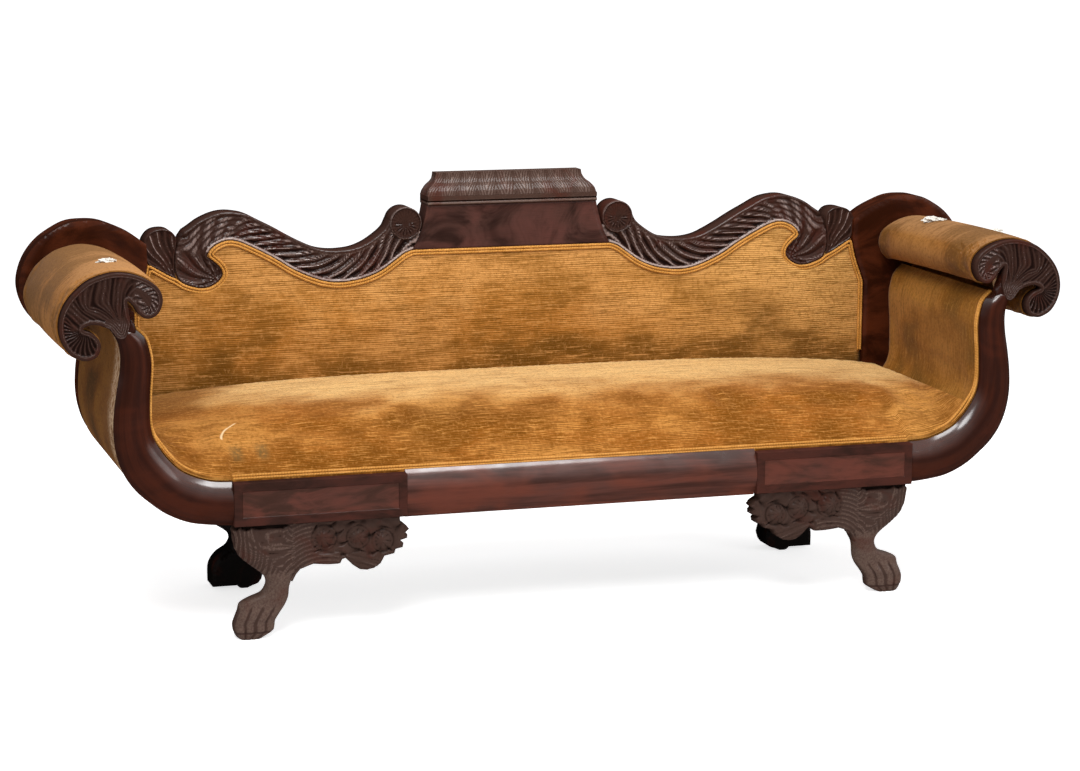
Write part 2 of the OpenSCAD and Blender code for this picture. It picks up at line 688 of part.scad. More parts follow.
// Flat block of the front rail, with a sunk field inside a border
module rail_block(side) {
    x0 = block_reach - block_l;
    color("sienna") in_depth() on_side(side) difference() {
        block_between([x0, 0, rail_z], [block_reach, facing_t, rail_top]);
        block_between(
            [x0 + border_w, -overrun, rail_z + border_w],
            [block_reach - border_w, field_sink, rail_top - border_w]
        );
    }
}
module rail_block_left() { rail_block(-1); }
module rail_block_right() { rail_block(1); }

// Rear rail of the seat, with its tenons
module rear_seat_rail() {
    half = block_reach - core_lap;
    color("burlywood") in_depth() difference() {
        union() {
            block_between([-half, rear_rail_front, core_z], [half, frame_front, core_top]);
            both_sides() rear_tenon();
        }
        both_sides() rear_dowels();
        both_sides() upright_screws();
    }
}
// Side rail of the seat, from the arm stump to the rear post
module side_rail(side) {
    x0 = block_reach - core_lap;
    color("burlywood") in_depth() on_side(side) {
        block_between([x0, stump_back, core_z], [x0 + side_rail_w, post_front, core_top]);
        side_tenons();
    }
}
module side_rail_left() { side_rail(-1); }
module side_rail_right() { side_rail(1); }

// Braces between the front and rear rails, clear of the springs
module seat_braces() {
    color("burlywood") in_depth() both_sides()
        block_between(
            [2 * spring_step - brace_w / 2, core_back, core_z],
            [2 * spring_step + brace_w / 2, rear_rail_front, core_z + brace_h]
        );
}
// Triangular blocks glued into the corners of the seat frame
module corner_blocks() {
    x = block_reach - core_lap;
    z = (core_z + core_top - corner_h) / 2;
    color("tan") in_depth() both_sides() translate([0, 0, z]) {
        linear_extrude(corner_h)
            polygon([[x, core_back], [x - corner_leg, core_back], [x, core_back + corner_leg]]);
        linear_extrude(corner_h)
            polygon([
                [x, rear_rail_front], [x, rear_rail_front - corner_leg], [x - corner_leg, rear_rail_front]
            ]);
    }
}

// Swept facing of an arm, rounded across like the front moulding
module arm_facing(side) {
    profile = arc_profile();
    outer = outer_path;
    inner = inner_path;
    crown = facing_t - facing_edge;
    color("saddlebrown") in_depth() on_side(side) slab(
        [
            for (i = [0 : len(outer) - 1]) [
                for (p = profile)
                    let (q = (outer[i] * (1 - p[0]) + inner[i] * (1 + p[0])) / 2)
                    [q[0], crown * (1 - p[1]), q[1]]
            ]
        ],
        [
            for (i = [0 : len(outer) - 1]) [
                for (p = profile)
                    let (q = (outer[i] * (1 - p[0]) + inner[i] * (1 + p[0])) / 2)
                    [q[0], facing_t, q[1]]
            ]
        ]
    );
}
module arm_facing_left() { arm_facing(-1); }
module arm_facing_right() { arm_facing(1); }

// Carved scroll on the front of an arm roll
module scroll_facing(side) {
    color("#3d231a") in_depth() on_side(side) board(0, facing_t) polygon(scroll_path);
}
module scroll_facing_left() { scroll_facing(-1); }
module scroll_facing_right() { scroll_facing(1); }

// Outline of the swept part of a stump or post, set in behind the velvet on both sides
module arm_blank_outline() {
    outside = shifted(outer_path, cover_set + cover_t + soft_gap);
    inside = shifted(inner_path, -(arm_pad_t - pad_proud + soft_gap));
    polygon(concat(
        [[block_reach - core_lap, core_z]], outside, turned(inside), [[block_reach - core_lap, core_top]]
    ));
}
// Front board of an arm, behind the facings
module arm_stump(side) {
    neck = placed([[0.33, 0.5], [0.56, 0.42], [0.475, 0.3], [0.35, 0.3]], scroll_corner, scroll_size);
    color("burlywood") in_depth() on_side(side) difference() {
        board(stump_front, stump_t) {
            arm_blank_outline();
            polygon(shifted_closed(scroll_path, -stump_set));
            polygon(neck);
        }
        core_tenon(fit_gap);
        side_tenons(fit_gap);
        slats(fit_gap);
    }
}
module arm_stump_left() { arm_stump(-1); }
module arm_stump_right() { arm_stump(1); }
// Slats that carry the padding inside an arm
module arm_slats(side) {
    color("burlywood") in_depth() on_side(side) slats();
}
module arm_slats_left() { arm_slats(-1); }
module arm_slats_right() { arm_slats(1); }

// Rear post: swept foot, inner side against the back, and round head
module rear_post(side) {
    foot = shifted(stretch(outer_path, 0, 12 * curve_steps), cover_set + cover_t + soft_gap);
    color("#4a2012") in_depth() on_side(side) difference() {
        board(post_front, post_t) polygon(concat(
            [[block_reach - core_lap, core_z]], foot, head_path,
            turned(panel_side),
            [[back_half, core_top], [block_reach - core_lap, core_top]]
        ));
        rear_tenon(fit_gap);
        side_tenons(fit_gap);
        slats(fit_gap);
        stile_screws();
        crest_pins();
        board(crest_front, crest_t) ear_outline();
    }
}
module rear_post_left() { rear_post(-1); }
module rear_post_right() { rear_post(1); }

// Outline of one half of the crest rail
module crest_outline() {
    difference() {
        polygon(concat(
            crest_lower_path, crest_hook_path, crest_upper_path, [rosette_at], on_crest([crest_foot_share])
        ));
        translate(rosette_at) circle(rosette_r, $fn = 64);
        tablet_outline();
    }
}
// Outline of the ear at the end of the crest rail
module ear_outline() {
    difference() {
        polygon(smooth_closed(on_crest(ear_shares)));
        crest_outline();
    }
}
// Outline of the tablet in the middle of the crest
module tablet_outline() {
    flank = smooth_open([
        for (s = tablet_flank_shares) [tablet_half - s[0] * tablet_flare, tablet_z + s[1] * tablet_h]
    ]);
    polygon(concat(flank, [for (p = turned(flank)) [-p[0], p[1]]]));
}
module crest_rail(side) {
    color("#3d231a") in_depth() on_side(side) difference() {
        board(crest_front, crest_t) crest_outline();
        crest_pins();
    }
}
module crest_rail_left() { crest_rail(-1); }
module crest_rail_right() { crest_rail(1); }
// Leafy ears where the crest meets the rear posts
module crest_ears() {
    color("#35201a") in_depth() both_sides() difference() {
        board(crest_front, crest_t) ear_outline();
        crest_pins();
    }
}
// Rosettes at the inner ends of the crest
module crest_rosettes() {
    color("#35201a") in_depth() both_sides()
        board(crest_front - cap_lip, crest_t + cap_lip) translate(rosette_at) circle(rosette_r, $fn = 64);
}
// Veneered tablet in the middle of the crest
module crest_tablet() {
    color("#4a2012") in_depth() difference() {
        board(crest_front, crest_t) tablet_outline();
        both_sides() upright_tenon(fit_gap);
        both_sides() crest_pins();
    }
}
// Cap of the tablet: a bead, and a leafy ovolo that falls back above it
module tablet_cap() {
    foot = [tablet_top_half, tablet_top + cap_bead_h];
    rise = cap_h - cap_bead_h;
    side_edge = smooth_open([for (s = cap_ovolo_shares) foot + [-s[0] * cap_fall, s[1] * rise]]);
    front_edge = smooth_open([
        for (s = cap_ovolo_shares) [cap_front + cap_lip + s[0] * cap_fall, foot[1] + s[1] * rise]
    ]);
    color("#35201a") in_depth() difference() {
        intersection() {
            board(cap_front, cap_d) polygon(concat(
                [[tablet_top_half, tablet_top]], side_edge,
                [for (p = turned(side_edge)) [-p[0], p[1]]], [[-tablet_top_half, tablet_top]]
            ));
            translate([-tablet_half, 0, 0]) rotate([90, 0, 90]) linear_extrude(2 * tablet_half)
                polygon(concat(
                    [[cap_front, tablet_top], [cap_front, foot[1]]], front_edge,
                    [[sofa_depth, cap_top], [sofa_depth, tablet_top]]
                ));
        }
        both_sides() crest_pins();
    }
}

// Dowels of the crest: tablet to crest rail, crest rail to ear, ear to post, and tablet to cap
module crest_pins(gap = fit_gap) {
    y = crest_front + crest_t / 2;
    for (s = crest_dowel_shares)
        let (p = on_crest([s])[0])
        translate([p[0] - crest_dowel_l / 2 - gap, y, p[1]]) rotate([0, 90, 0])
            cylinder(h = crest_dowel_l + 2 * gap, d = crest_dowel_d + 2 * gap, $fn = 32);
    translate([tablet_top_half / 2, y, tablet_top - crest_dowel_l / 2 - gap])
        cylinder(h = crest_dowel_l + 2 * gap, d = crest_dowel_d + 2 * gap, $fn = 32);
}
// Middles of the dowels along the crest, with their diameter and length
crest_dowel_shares = [[0, 0.48], [0.89, 0.333], [0.995, 0.52]];
crest_dowel_d = 10;
crest_dowel_l = 40;
module crest_dowels() {
    color("tan") in_depth() both_sides() crest_pins(0);
}

// Place of the uprights of the back under the tablet
upright_x = tablet_half - upright_w;
// Tenon at the head of an upright, in the tablet
module upright_tenon(gap = 0) {
    tenon(
        [upright_x, frame_front + frame_t / 2, tablet_z + tenon_h / 2 - overrun],
        [upright_w / 2, tenon_t, tenon_h + 2 * overrun], gap
    );
}
// Underside of the lower rail of the back
back_rail_z = rail_top + back_rail_rise;
module back_stiles() {
    color("burlywood") in_depth() both_sides() difference() {
        board(frame_front, frame_t) difference() {
            polygon(concat(
                [[back_half - stile_w, core_top], [back_half, core_top]],
                panel_side,
                [[back_half - stile_w, crest_z + crest_h / 2]]
            ));
            ear_outline();
            crest_outline();
        }
        back_rail_tenon(fit_gap);
        stile_screws();
    }
}
module back_uprights() {
    color("burlywood") in_depth() both_sides() difference() {
        union() {
            block_between(
                [upright_x - upright_w / 2, frame_front, core_z],
                [upright_x + upright_w / 2, frame_back, tablet_z]
            );
            upright_tenon();
        }
        block_between(
            [upright_x - upright_w, frame_front - overrun, back_rail_z],
            [upright_x + upright_w, frame_front + frame_t / 2, back_rail_z + back_rail_h]
        );
        upright_screws();
    }
}
// Tenon at the end of the lower rail of the back, in the stile
module back_rail_tenon(gap = 0) {
    tenon(
        [
            back_half - stile_w + back_tenon_l / 2 - overrun, frame_front + frame_t / 2,
            back_rail_z + back_rail_h / 2
        ],
        [back_tenon_l + 2 * overrun, tenon_t, back_rail_h / 2], gap
    );
}
module back_lower_rail() {
    half = back_half - stile_w;
    color("burlywood") in_depth() {
        difference() {
            union() {
                block_between(
                    [-half, frame_front, back_rail_z],
                    [half, frame_back, back_rail_z + back_rail_h]
                );
                both_sides() back_rail_tenon();
            }
            both_sides() block_between(
                [upright_x - upright_w / 2, frame_front + frame_t / 2, back_rail_z - overrun],
                [upright_x + upright_w / 2, frame_back + overrun, back_rail_z + back_rail_h + overrun]
            );
        }
    }
}

// Strips behind the rear seat rail, to which the cloth over the rear is tacked
module tacking_strips() {
    outer = upright_x + upright_w / 2;
    inner = upright_x - upright_w / 2;
    color("burlywood") in_depth() {
        block_between([-inner, frame_front, core_z], [inner, frame_back, core_z + back_rail_h]);
        both_sides() block_between(
            [outer, frame_front, core_z],
            [block_reach - core_lap, frame_back, core_z + back_rail_h]
        );
    }
}

// Front leg: hairy knee, ankle and paw
module paw_leg(side) {
    color("#35241e") in_depth() on_side(side) difference() {
        union() {
            intersection() {
                board(leg_set, leg_t) polygon(concat(
                    smooth_open(placed(leg_outer_shares, [leg_x, 0], [leg_w, rail_z])),
                    smooth_open(placed(leg_inner_shares, [leg_x, 0], [leg_w, rail_z])),
                    [[leg_x, rail_z]]
                ));
                translate([leg_x - overrun, 0, 0]) rotate([90, 0, 90]) linear_extrude(leg_w + 2 * overrun)
                    polygon(placed(leg_side_shares, [leg_set, 0], [leg_t, rail_z]));
            }
            block_between([leg_x, facing_t, rail_z - core_set], [block_reach, leg_set + leg_t, core_z]);
        }
        front_dowels();
    }
}
module paw_leg_left() { paw_leg(-1); }
module paw_leg_right() { paw_leg(1); }
// Carved bracket beside a front leg: a leafy horn with three fruits
module fruit_bracket(side) {
    corner = [leg_x - bracket_l, rail_z - bracket_h];
    color("#35241e") in_depth() on_side(side) union() {
        board(leg_set, bracket_t) polygon(placed(bracket_shares, corner, [bracket_l, bracket_h]));
        for (f = fruit_shares)
            translate([
                corner[0] + f[0] * bracket_l,
                leg_set + fruit_sink_share * fruit_r * f[2],
                corner[1] + f[1] * bracket_h
            ])
                sphere(fruit_r * f[2], $fn = 48);
    }
}
module fruit_bracket_left() { fruit_bracket(-1); }
module fruit_bracket_right() { fruit_bracket(1); }
// Rear foot: the plain outline of a paw leg
rear_foot_x = block_reach - rear_foot_w;
module rear_foot(side) {
    size = [rear_foot_w, core_z];
    color("#1d1613") in_depth() on_side(side) difference() {
        board(rear_foot_front, rear_foot_t) polygon(concat(
            smooth_open(placed(rear_foot_outer_shares, [rear_foot_x, 0], size)),
            placed(rear_foot_inner_shares, [rear_foot_x, 0], size)
        ));
        rear_dowels();
    }
}
module rear_foot_left() { rear_foot(-1); }
module rear_foot_right() { rear_foot(1); }
// Dowels that fix the feet to the rails
module foot_dowels() {
    color("tan") in_depth() both_sides() {
        front_dowels(0);
        rear_dowels(0);
    }
}
// A screw along Z with its head at the origin
module screw(gap) {
    translate([0, 0, -screw_l]) cylinder(h = screw_l, d = screw_d + 2 * gap, $fn = 32);
    translate([0, 0, -screw_d]) cylinder(h = screw_d, d = screw_head_d + 2 * gap, $fn = 32);
}
// Screws from an upright into the rear seat rail
module upright_screws(gap = fit_gap) {
    for (z = [core_z + brace_w / 2, core_top - brace_w / 2])
        translate([upright_x, frame_back, z]) rotate([-90, 0, 0]) screw(gap);
}
// Screws from a stile into the rear post
module stile_screws(gap = fit_gap) {
    for (s = stile_screw_shares)
        translate([back_half - stile_w, frame_front + frame_t / 2, rail_top + s * (crest_z - rail_top)])
            rotate([0, -90, 0]) screw(gap);
}
stile_screw_shares = [0.15, 0.5, 0.8];
module frame_screws() {
    color("silver") in_depth() both_sides() {
        upright_screws(0);
        stile_screws(0);
    }
}

// Webbing under the seat: strips from front to back, and strips along it below them
module seat_webbing() {
    y0 = leg_set + leg_t + web_margin;
    reach = block_reach - core_lap + side_rail_w;
    color("tan") in_depth() {
        for (x = spring_xs)
            block_between([x - web_w / 2, y0, core_z - web_t], [x + web_w / 2, frame_front, core_z]);
        for (k = [0 : 2 * (spring_rows - 1)])
            let (y = spring_ys[0] + (spring_ys[1] - spring_ys[0]) * k / 2)
            block_between(
                [-reach, y - web_w / 2, core_z - 2 * web_t],
                [reach, y + web_w / 2, core_z - web_t]
            );
    }
}
// One coil spring that stands at [x, y], drawn in at its waist, with half a turn lying flat at each end
module coil_spring(x, y) {
    reach = spring_d / 2 + 2 * spring_wire;
    low = core_z + spring_wire / 2 + soft_gap;
    high = min(canvas_z(x, y - reach), canvas_z(x, y + reach)) - spring_wire / 2 - 2 * soft_gap;
    rings = spring_turns * spring_turn_points;
    radius = (spring_d - spring_wire) / 2;
    points = [
        for (k = [0 : rings])
            let (
                t = k / rings,
                rise = min(max((spring_turns * t - 0.5) / (spring_turns - 1), 0), 1),
                angle = 90 + 360 * k / spring_turn_points,
                r = radius * (1 - (1 - spring_waist_share) * sin(180 * t)),
                out = [cos(angle), sin(angle), 0]
            )
            for (j = [0 : wire_sides - 1])
                let (a = 360 * j / wire_sides)
                [x, y, low + rise * (high - low)] + r * out
                    + spring_wire / 2 * (cos(a) * out + sin(a) * [0, 0, 1])
    ];
    faces = concat(
        [
            for (k = [0 : rings - 1]) for (j = [0 : wire_sides - 1])
                let (
                    a = k * wire_sides + j, b = k * wire_sides + (j + 1) % wire_sides,
                    c = b + wire_sides, d = a + wire_sides
                )
                each [[a, b, c], [a, c, d]]
        ],
        [for (j = [1 : wire_sides - 2]) [0, j + 1, j]],
        [for (j = [1 : wire_sides - 2]) rings * wire_sides * [1, 1, 1] + [0, j, j + 1]]
    );
    closed_form(points, faces);
}
module seat_springs() {
    color("silver") in_depth() for (y = spring_ys) for (x = spring_xs) coil_spring(x, y);
}
// Canvas over the springs, tacked to the tops of the rails
module spring_canvas() {
    first = len(seat_col_shares) - canvas_cols;
    last = len(seat_xs) - 1 - first;
    color("wheat") in_depth() slab(
        columns(seat_grid(function (x, y) canvas_z(x, y) + cloth_t), first, last),
        columns(seat_grid(function (x, y) canvas_z(x, y)), first, last)
    );
}
// Columns of the seat's grid, from the middle out, that the canvas covers
canvas_cols = 9;
// Crowned stuffing of the seat
module seat_stuffing() {
    color("dimgray") in_depth() slab(
        seat_grid(function (x, y) seat_z(x, y) - cover_t - soft_gap),
        seat_grid(function (x, y) bed_z(x, y))
    );
}
// Velvet over the seat
module seat_cover() {
    color("goldenrod") in_depth() slab(
        seat_grid(function (x, y) seat_z(x, y)),
        seat_grid(function (x, y) seat_z(x, y) - cover_t)
    );
}
// Braid along the front edge of the seat
module seat_braid() {
    function strip(lift) = [
        for (y = [seat_front + soft_gap, seat_front + soft_gap + braid_w])
            [for (x = seat_xs) [x, y, seat_z(x, y) + lift]]
    ];
    color("peru") in_depth() slab(strip(soft_gap + braid_t), strip(soft_gap));
}

// Webbing of the back
module back_webbing() {
    x = back_half - web_margin;
    rise = crest_z - panel_bottom;
    color("tan") in_depth() {
        for (s = back_web_row_shares)
            let (z = panel_bottom + s * rise)
            block_between([-x, frame_front - web_t, z - web_w / 2], [x, frame_front, z + web_w / 2]);
        for (s = back_web_col_shares) for (side = [-1, 1])
            let (c = side * s * back_half)
            block_between(
                [c - web_w / 2, frame_front - 2 * web_t, panel_bottom + web_t],
                [c + web_w / 2, frame_front - web_t, panel_bottom + back_web_top_share * rise]
            );
    }
}
back_web_row_shares = [0.2, 0.45, 0.7];
back_web_col_shares = [0.13, 0.38, 0.63, 0.86];
back_web_top_share = 0.9;
// Crowned stuffing of the back
module back_stuffing() {
    front = crest_front + cover_t + soft_gap;
    back = frame_front - 2 * web_t - soft_gap;
    color("dimgray") in_depth() {
        slab(back_grid(front, 1), back_grid(back, 0));
        hook_pockets(front, back - front);
    }
}
// Velvet over the back
module back_cover() {
    color("goldenrod") in_depth() {
        slab(back_grid(crest_front, 1), back_grid(crest_front + cover_t, 1));
        hook_pockets(crest_front, cover_t);
    }
}
// Layer of the back inside the crest's hooks
module hook_pockets(y, t) {
    both_sides() board(y, t) polygon(on_crest(hook_pocket_shares));
}
// Cloth over the rear of the back
module outer_back_cloth() {
    lower = [[block_reach, core_z], [block_reach, core_top], [back_half, core_top]];
    color("darkkhaki") in_depth() {
        board(frame_back, cloth_t) polygon(concat(
            [for (p = lower) [-p[0], p[1]]], panel_top, turned(lower)
        ));
        hook_pockets(frame_back, cloth_t);
    }
}

// Padding of an arm roll, from the inner curl over the top to the outer one
module roll_padding(side) {
    function layer(d) =
        columns(arm_grid(roll_path, roll_pad_ys, d, roll_crown, roll_sag), roll_pad_first, roll_pad_last);
    color("dimgray") in_depth() on_side(side) slab(layer(-soft_gap), layer(-roll_pad_t));
}
module roll_padding_left() { roll_padding(-1); }
module roll_padding_right() { roll_padding(1); }
// Velvet over an arm roll
module roll_cover(side) {
    color("goldenrod") in_depth() on_side(side) slab(
        arm_grid(roll_path, roll_cover_ys, cover_t, roll_crown, roll_sag),
        arm_grid(roll_path, roll_cover_ys, 0, roll_crown, roll_sag)
    );
}
module roll_cover_left() { roll_cover(-1); }
module roll_cover_right() { roll_cover(1); }
// Padded inside of an arm
module inside_arm(side) {
    path = thinned(inner_path, curve_steps + 1);
    color("goldenrod") in_depth() on_side(side) slab(
        arm_grid(path, inside_ys, pad_proud, pad_crown, 0),
        arm_grid(path, inside_ys, pad_proud - arm_pad_t, 0, 0)
    );
}
module inside_arm_left() { inside_arm(-1); }
module inside_arm_right() { inside_arm(1); }
// Velvet over the outside of an arm
module outside_arm(side) {
    path = thinned(outer_path, curve_steps + 1);
    color("goldenrod") in_depth() on_side(side) slab(
        arm_grid(path, outside_ys, cover_set, 0, 0),
        arm_grid(path, outside_ys, cover_set + cover_t, 0, 0)
    );
}
module outside_arm_left() { outside_arm(-1); }
module outside_arm_right() { outside_arm(1); }
// Braid along both edges of the arm facings
module arm_braid() {
    ys = [stump_front + 2 * soft_gap, stump_front + 2 * soft_gap + braid_w];
    inner = thinned(inner_path, curve_steps + 1);
    outer = thinned(outer_path, curve_steps + 1);
    first = 2 * curve_steps + 2;
    function strip(d) = columns(arm_grid(inner, ys, d, pad_crown, 0), first, len(inner) - 1);
    color("peru") in_depth() both_sides() {
        slab(strip(pad_proud + soft_gap + braid_t), strip(pad_proud + soft_gap));
        slab(
            arm_grid(outer, ys, cover_set - soft_gap, 0, 0),
            arm_grid(outer, ys, cover_set - soft_gap - braid_t, 0, 0)
        );
    }
}
// Dust cloth under the seat, cut round the rear feet
module dust_cloth() {
    top = core_z - 2 * web_t - soft_gap;
    reach = block_reach - core_lap + side_rail_w;
    low = top - cloth_t;
    color("black") in_depth() union() {
        block_between([-reach, core_back, low], [reach, rear_foot_front - web_margin, top]);
        block_between([-rear_foot_x, core_back, low], [rear_foot_x, frame_front, top]);
    }
}

front_rail_core();
front_rail_moulding();
rail_block_left();
rail_block_right();
rear_seat_rail();
side_rail_left();
side_rail_right();
seat_braces();
corner_blocks();
arm_facing_left();
arm_facing_right();
scroll_facing_left();
scroll_facing_right();
arm_stump_left();
arm_stump_right();
arm_slats_left();
arm_slats_right();
rear_post_left();
rear_post_right();
crest_rail_left();
crest_rail_right();
crest_ears();
crest_rosettes();
crest_tablet();
tablet_cap();
crest_dowels();
back_stiles();
back_uprights();
back_lower_rail();
tacking_strips();
paw_leg_left();
paw_leg_right();
fruit_bracket_left();
fruit_bracket_right();
rear_foot_left();
rear_foot_right();
foot_dowels();
frame_screws();
seat_webbing();
seat_springs();
spring_canvas();
seat_stuffing();
seat_cover();
back_webbing();
back_stuffing();
back_cover();
outer_back_cloth();
roll_padding_left();
roll_padding_right();
roll_cover_left();
roll_cover_right();
inside_arm_left();
inside_arm_right();
outside_arm_left();
outside_arm_right();
seat_braid();
arm_braid();
dust_cloth();
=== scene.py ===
"""A long carved sofa with scrolled arms, paw legs and ribbed velvet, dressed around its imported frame.

Outlines are drawn in millimetres for the right half, with y measured from the face of the front rail.
Each sub-assembly is a class that builds its meshes and dresses them with a finish of its own.
"""

import json
import logging
import math
from dataclasses import dataclass
from enum import Enum
from typing import Callable, Sequence

import bmesh
import bpy
import numpy as np
from mathutils import Matrix, Vector
from mathutils.geometry import delaunay_2d_cdt

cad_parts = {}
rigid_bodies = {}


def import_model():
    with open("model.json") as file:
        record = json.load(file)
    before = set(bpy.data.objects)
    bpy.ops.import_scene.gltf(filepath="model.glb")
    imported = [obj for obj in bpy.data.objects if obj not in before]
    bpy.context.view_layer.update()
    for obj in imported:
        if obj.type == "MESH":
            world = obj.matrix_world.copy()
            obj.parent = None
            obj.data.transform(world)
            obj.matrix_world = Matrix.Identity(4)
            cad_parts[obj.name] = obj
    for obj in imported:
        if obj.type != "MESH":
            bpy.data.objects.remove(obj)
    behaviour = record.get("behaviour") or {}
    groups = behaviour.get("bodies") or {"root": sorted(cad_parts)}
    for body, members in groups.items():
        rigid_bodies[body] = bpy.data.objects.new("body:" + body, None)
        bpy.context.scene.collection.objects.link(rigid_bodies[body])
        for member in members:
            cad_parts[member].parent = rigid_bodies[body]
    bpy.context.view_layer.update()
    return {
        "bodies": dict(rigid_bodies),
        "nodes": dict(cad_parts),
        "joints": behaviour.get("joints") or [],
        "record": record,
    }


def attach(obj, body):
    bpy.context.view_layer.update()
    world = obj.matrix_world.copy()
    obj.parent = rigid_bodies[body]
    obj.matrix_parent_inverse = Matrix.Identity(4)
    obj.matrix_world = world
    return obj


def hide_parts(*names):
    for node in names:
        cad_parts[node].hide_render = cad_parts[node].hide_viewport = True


LOG = logging.getLogger("sofa")
MM = 0.001
STEPS = 6  # steps from one drawn point of a curve to the next
FLAT_RELIEF = 0.6  # tone of a face without carving
SIDE_RELIEF = 0.15  # tone of the sides and back of a carved board
CORD_SIDES = 8  # sides of a cord
WELD = 1e-9  # distance at which two points of an outline are one
# Bare cotton on the worn rolls: place and half sizes in millimetres
TUFTS = (
    ((-976, 140, 780), (17, 12, 6)), ((-965, 152, 780), (9, 8, 4)), ((952, 366, 777), (19, 12, 7)),
    ((970, 352, 777), (11, 8, 4)), ((1040, 215, 766), (15, 9, 5)),
)
Shares = Sequence[Sequence[float]]
Carving = Callable[[np.ndarray, np.ndarray], tuple[np.ndarray, np.ndarray]]
Rise = Callable[[float, np.ndarray], np.ndarray]

# Outlines of the arms, as shares of the run and rise of an arm or of the box of a scroll
FACING_OUTER = (
    (0, 0), (0.19, 0.01), (0.38, 0.03), (0.56, 0.077), (0.705, 0.14), (0.83, 0.21), (0.92, 0.29),
    (0.975, 0.38), (1, 0.48), (0.995, 0.59), (0.97, 0.7), (0.94, 0.8), (0.93, 0.88), (0.945, 0.95),
    (0.99, 1.005),
)
FACING_INNER = (
    (0, 0), (0.17, 0.01), (0.32, 0.045), (0.445, 0.095), (0.545, 0.17), (0.62, 0.25), (0.67, 0.33),
    (0.69, 0.425), (0.69, 0.52), (0.685, 0.62), (0.675, 0.715), (0.67, 0.81), (0.685, 0.89),
    (0.72, 0.97), (0.8, 1.03),
)
SCROLL = (
    (0.34, 0.67), (0.28, 0.6), (0.24, 0.52), (0.165, 0.46), (0.08, 0.48), (0.025, 0.555), (0, 0.66),
    (0.02, 0.77), (0.08, 0.855), (0.19, 0.935), (0.315, 0.985), (0.45, 1), (0.575, 0.975), (0.71, 0.915),
    (0.835, 0.8), (0.93, 0.665), (0.985, 0.52), (1, 0.36), (0.97, 0.21), (0.9, 0.08), (0.8, 0.01),
    (0.725, 0), (0.65, 0.035), (0.615, 0.1), (0.605, 0.175), (0.63, 0.255), (0.69, 0.32), (0.77, 0.365),
    (0.71, 0.41), (0.625, 0.405), (0.545, 0.37), (0.475, 0.335), (0.4, 0.31), (0.35, 0.35), (0.32, 0.43),
    (0.33, 0.555),
)
ROLL_POINTS = 28  # points of the scroll that the velvet of the roll follows
NECK = (
    (0.47, 0.27), (0.44, 0.305), (0.4, 0.325), (0.358, 0.37), (0.326, 0.44), (0.326, 0.5), (0.336, 0.57),
    (0.322, 0.57), (0.3, 0.49), (0.275, 0.41), (0.258, 0.345), (0.262, 0.29),
)
HEAD = (
    (0.54, 0.015), (0.635, 0.01), (0.77, 0.05), (0.895, 0.145), (0.97, 0.285), (1, 0.44), (0.98, 0.585),
    (0.925, 0.72), (0.84, 0.835), (0.735, 0.92), (0.615, 0.985), (0.49, 1), (0.37, 0.99), (0.255, 0.945),
    (0.125, 0.875), (0.007, 0.78),
)
# Outlines of the crest, as shares of the length and height of one half of it
CREST_LOWER = (
    (0, 0.412), (0.033, 0.365), (0.075, 0.255), (0.12, 0.145), (0.172, 0.065), (0.222, 0.025),
    (0.277, 0.005), (0.335, 0.03), (0.395, 0.103), (0.458, 0.212), (0.513, 0.34), (0.57, 0.455),
    (0.622, 0.55), (0.658, 0.605), (0.692, 0.625), (0.723, 0.6), (0.75, 0.545), (0.765, 0.485),
    (0.773, 0.42),
)
CREST_HOOK = (
    (0.753, 0.365), (0.73, 0.29), (0.718, 0.22), (0.718, 0.145), (0.737, 0.067), (0.765, 0.012),
    (0.797, 0), (0.835, 0.03), (0.875, 0.105), (0.89, 0.24), (0.89, 0.425), (0.88, 0.575), (0.867, 0.685),
)
CREST_UPPER = (
    (0.853, 0.757), (0.83, 0.81), (0.793, 0.9), (0.743, 0.975), (0.697, 1), (0.648, 0.98), (0.613, 0.94),
    (0.568, 0.855), (0.512, 0.75), (0.457, 0.635), (0.41, 0.545), (0.363, 0.47), (0.313, 0.435),
    (0.263, 0.435), (0.217, 0.46), (0.172, 0.525), (0.132, 0.62), (0.102, 0.715), (0.087, 0.825),
)
ROSETTE = (0.0275, 0.776)
EAR = (
    (0.889, 0.14), (0.917, 0.19), (0.953, 0.268), (0.988, 0.345), (1, 0.485), (1.003, 0.625),
    (0.988, 0.727), (0.967, 0.782), (0.94, 0.8), (0.913, 0.788), (0.893, 0.733), (0.884, 0.642),
    (0.893, 0.425), (0.893, 0.24),
)
PANEL_SIDE = ((0, -0.255), (-0.34, -0.02), (-0.57, 0.18), (-0.7, 0.35))
TABLET_FLANK = ((0, 0), (0.35, 0.22), (0.66, 0.5), (0.88, 0.78), (1, 1))
CAP_OVOLO = ((0, 0), (0.12, 0.22), (0.4, 0.42), (0.72, 0.58), (0.92, 0.78), (1, 1))
# Bead and lip at the foot of the cap: fall, set back, height, and height of the carving
CAP_FOOT = (
    (0, 2.5, 0, 0.2), (0, 0.8, 1.5, 0.7), (0, 0, 4, 1.1), (0, 0.8, 6.5, 0.8), (0, 3.5, 8, 0), (0, 3.5, 10, 0),
    (0, 0, 10.6, 0.75), (0, 0, 15, 0.7), (0, 0, 19, 0.7), (0, 4, 20, 0.1),
)
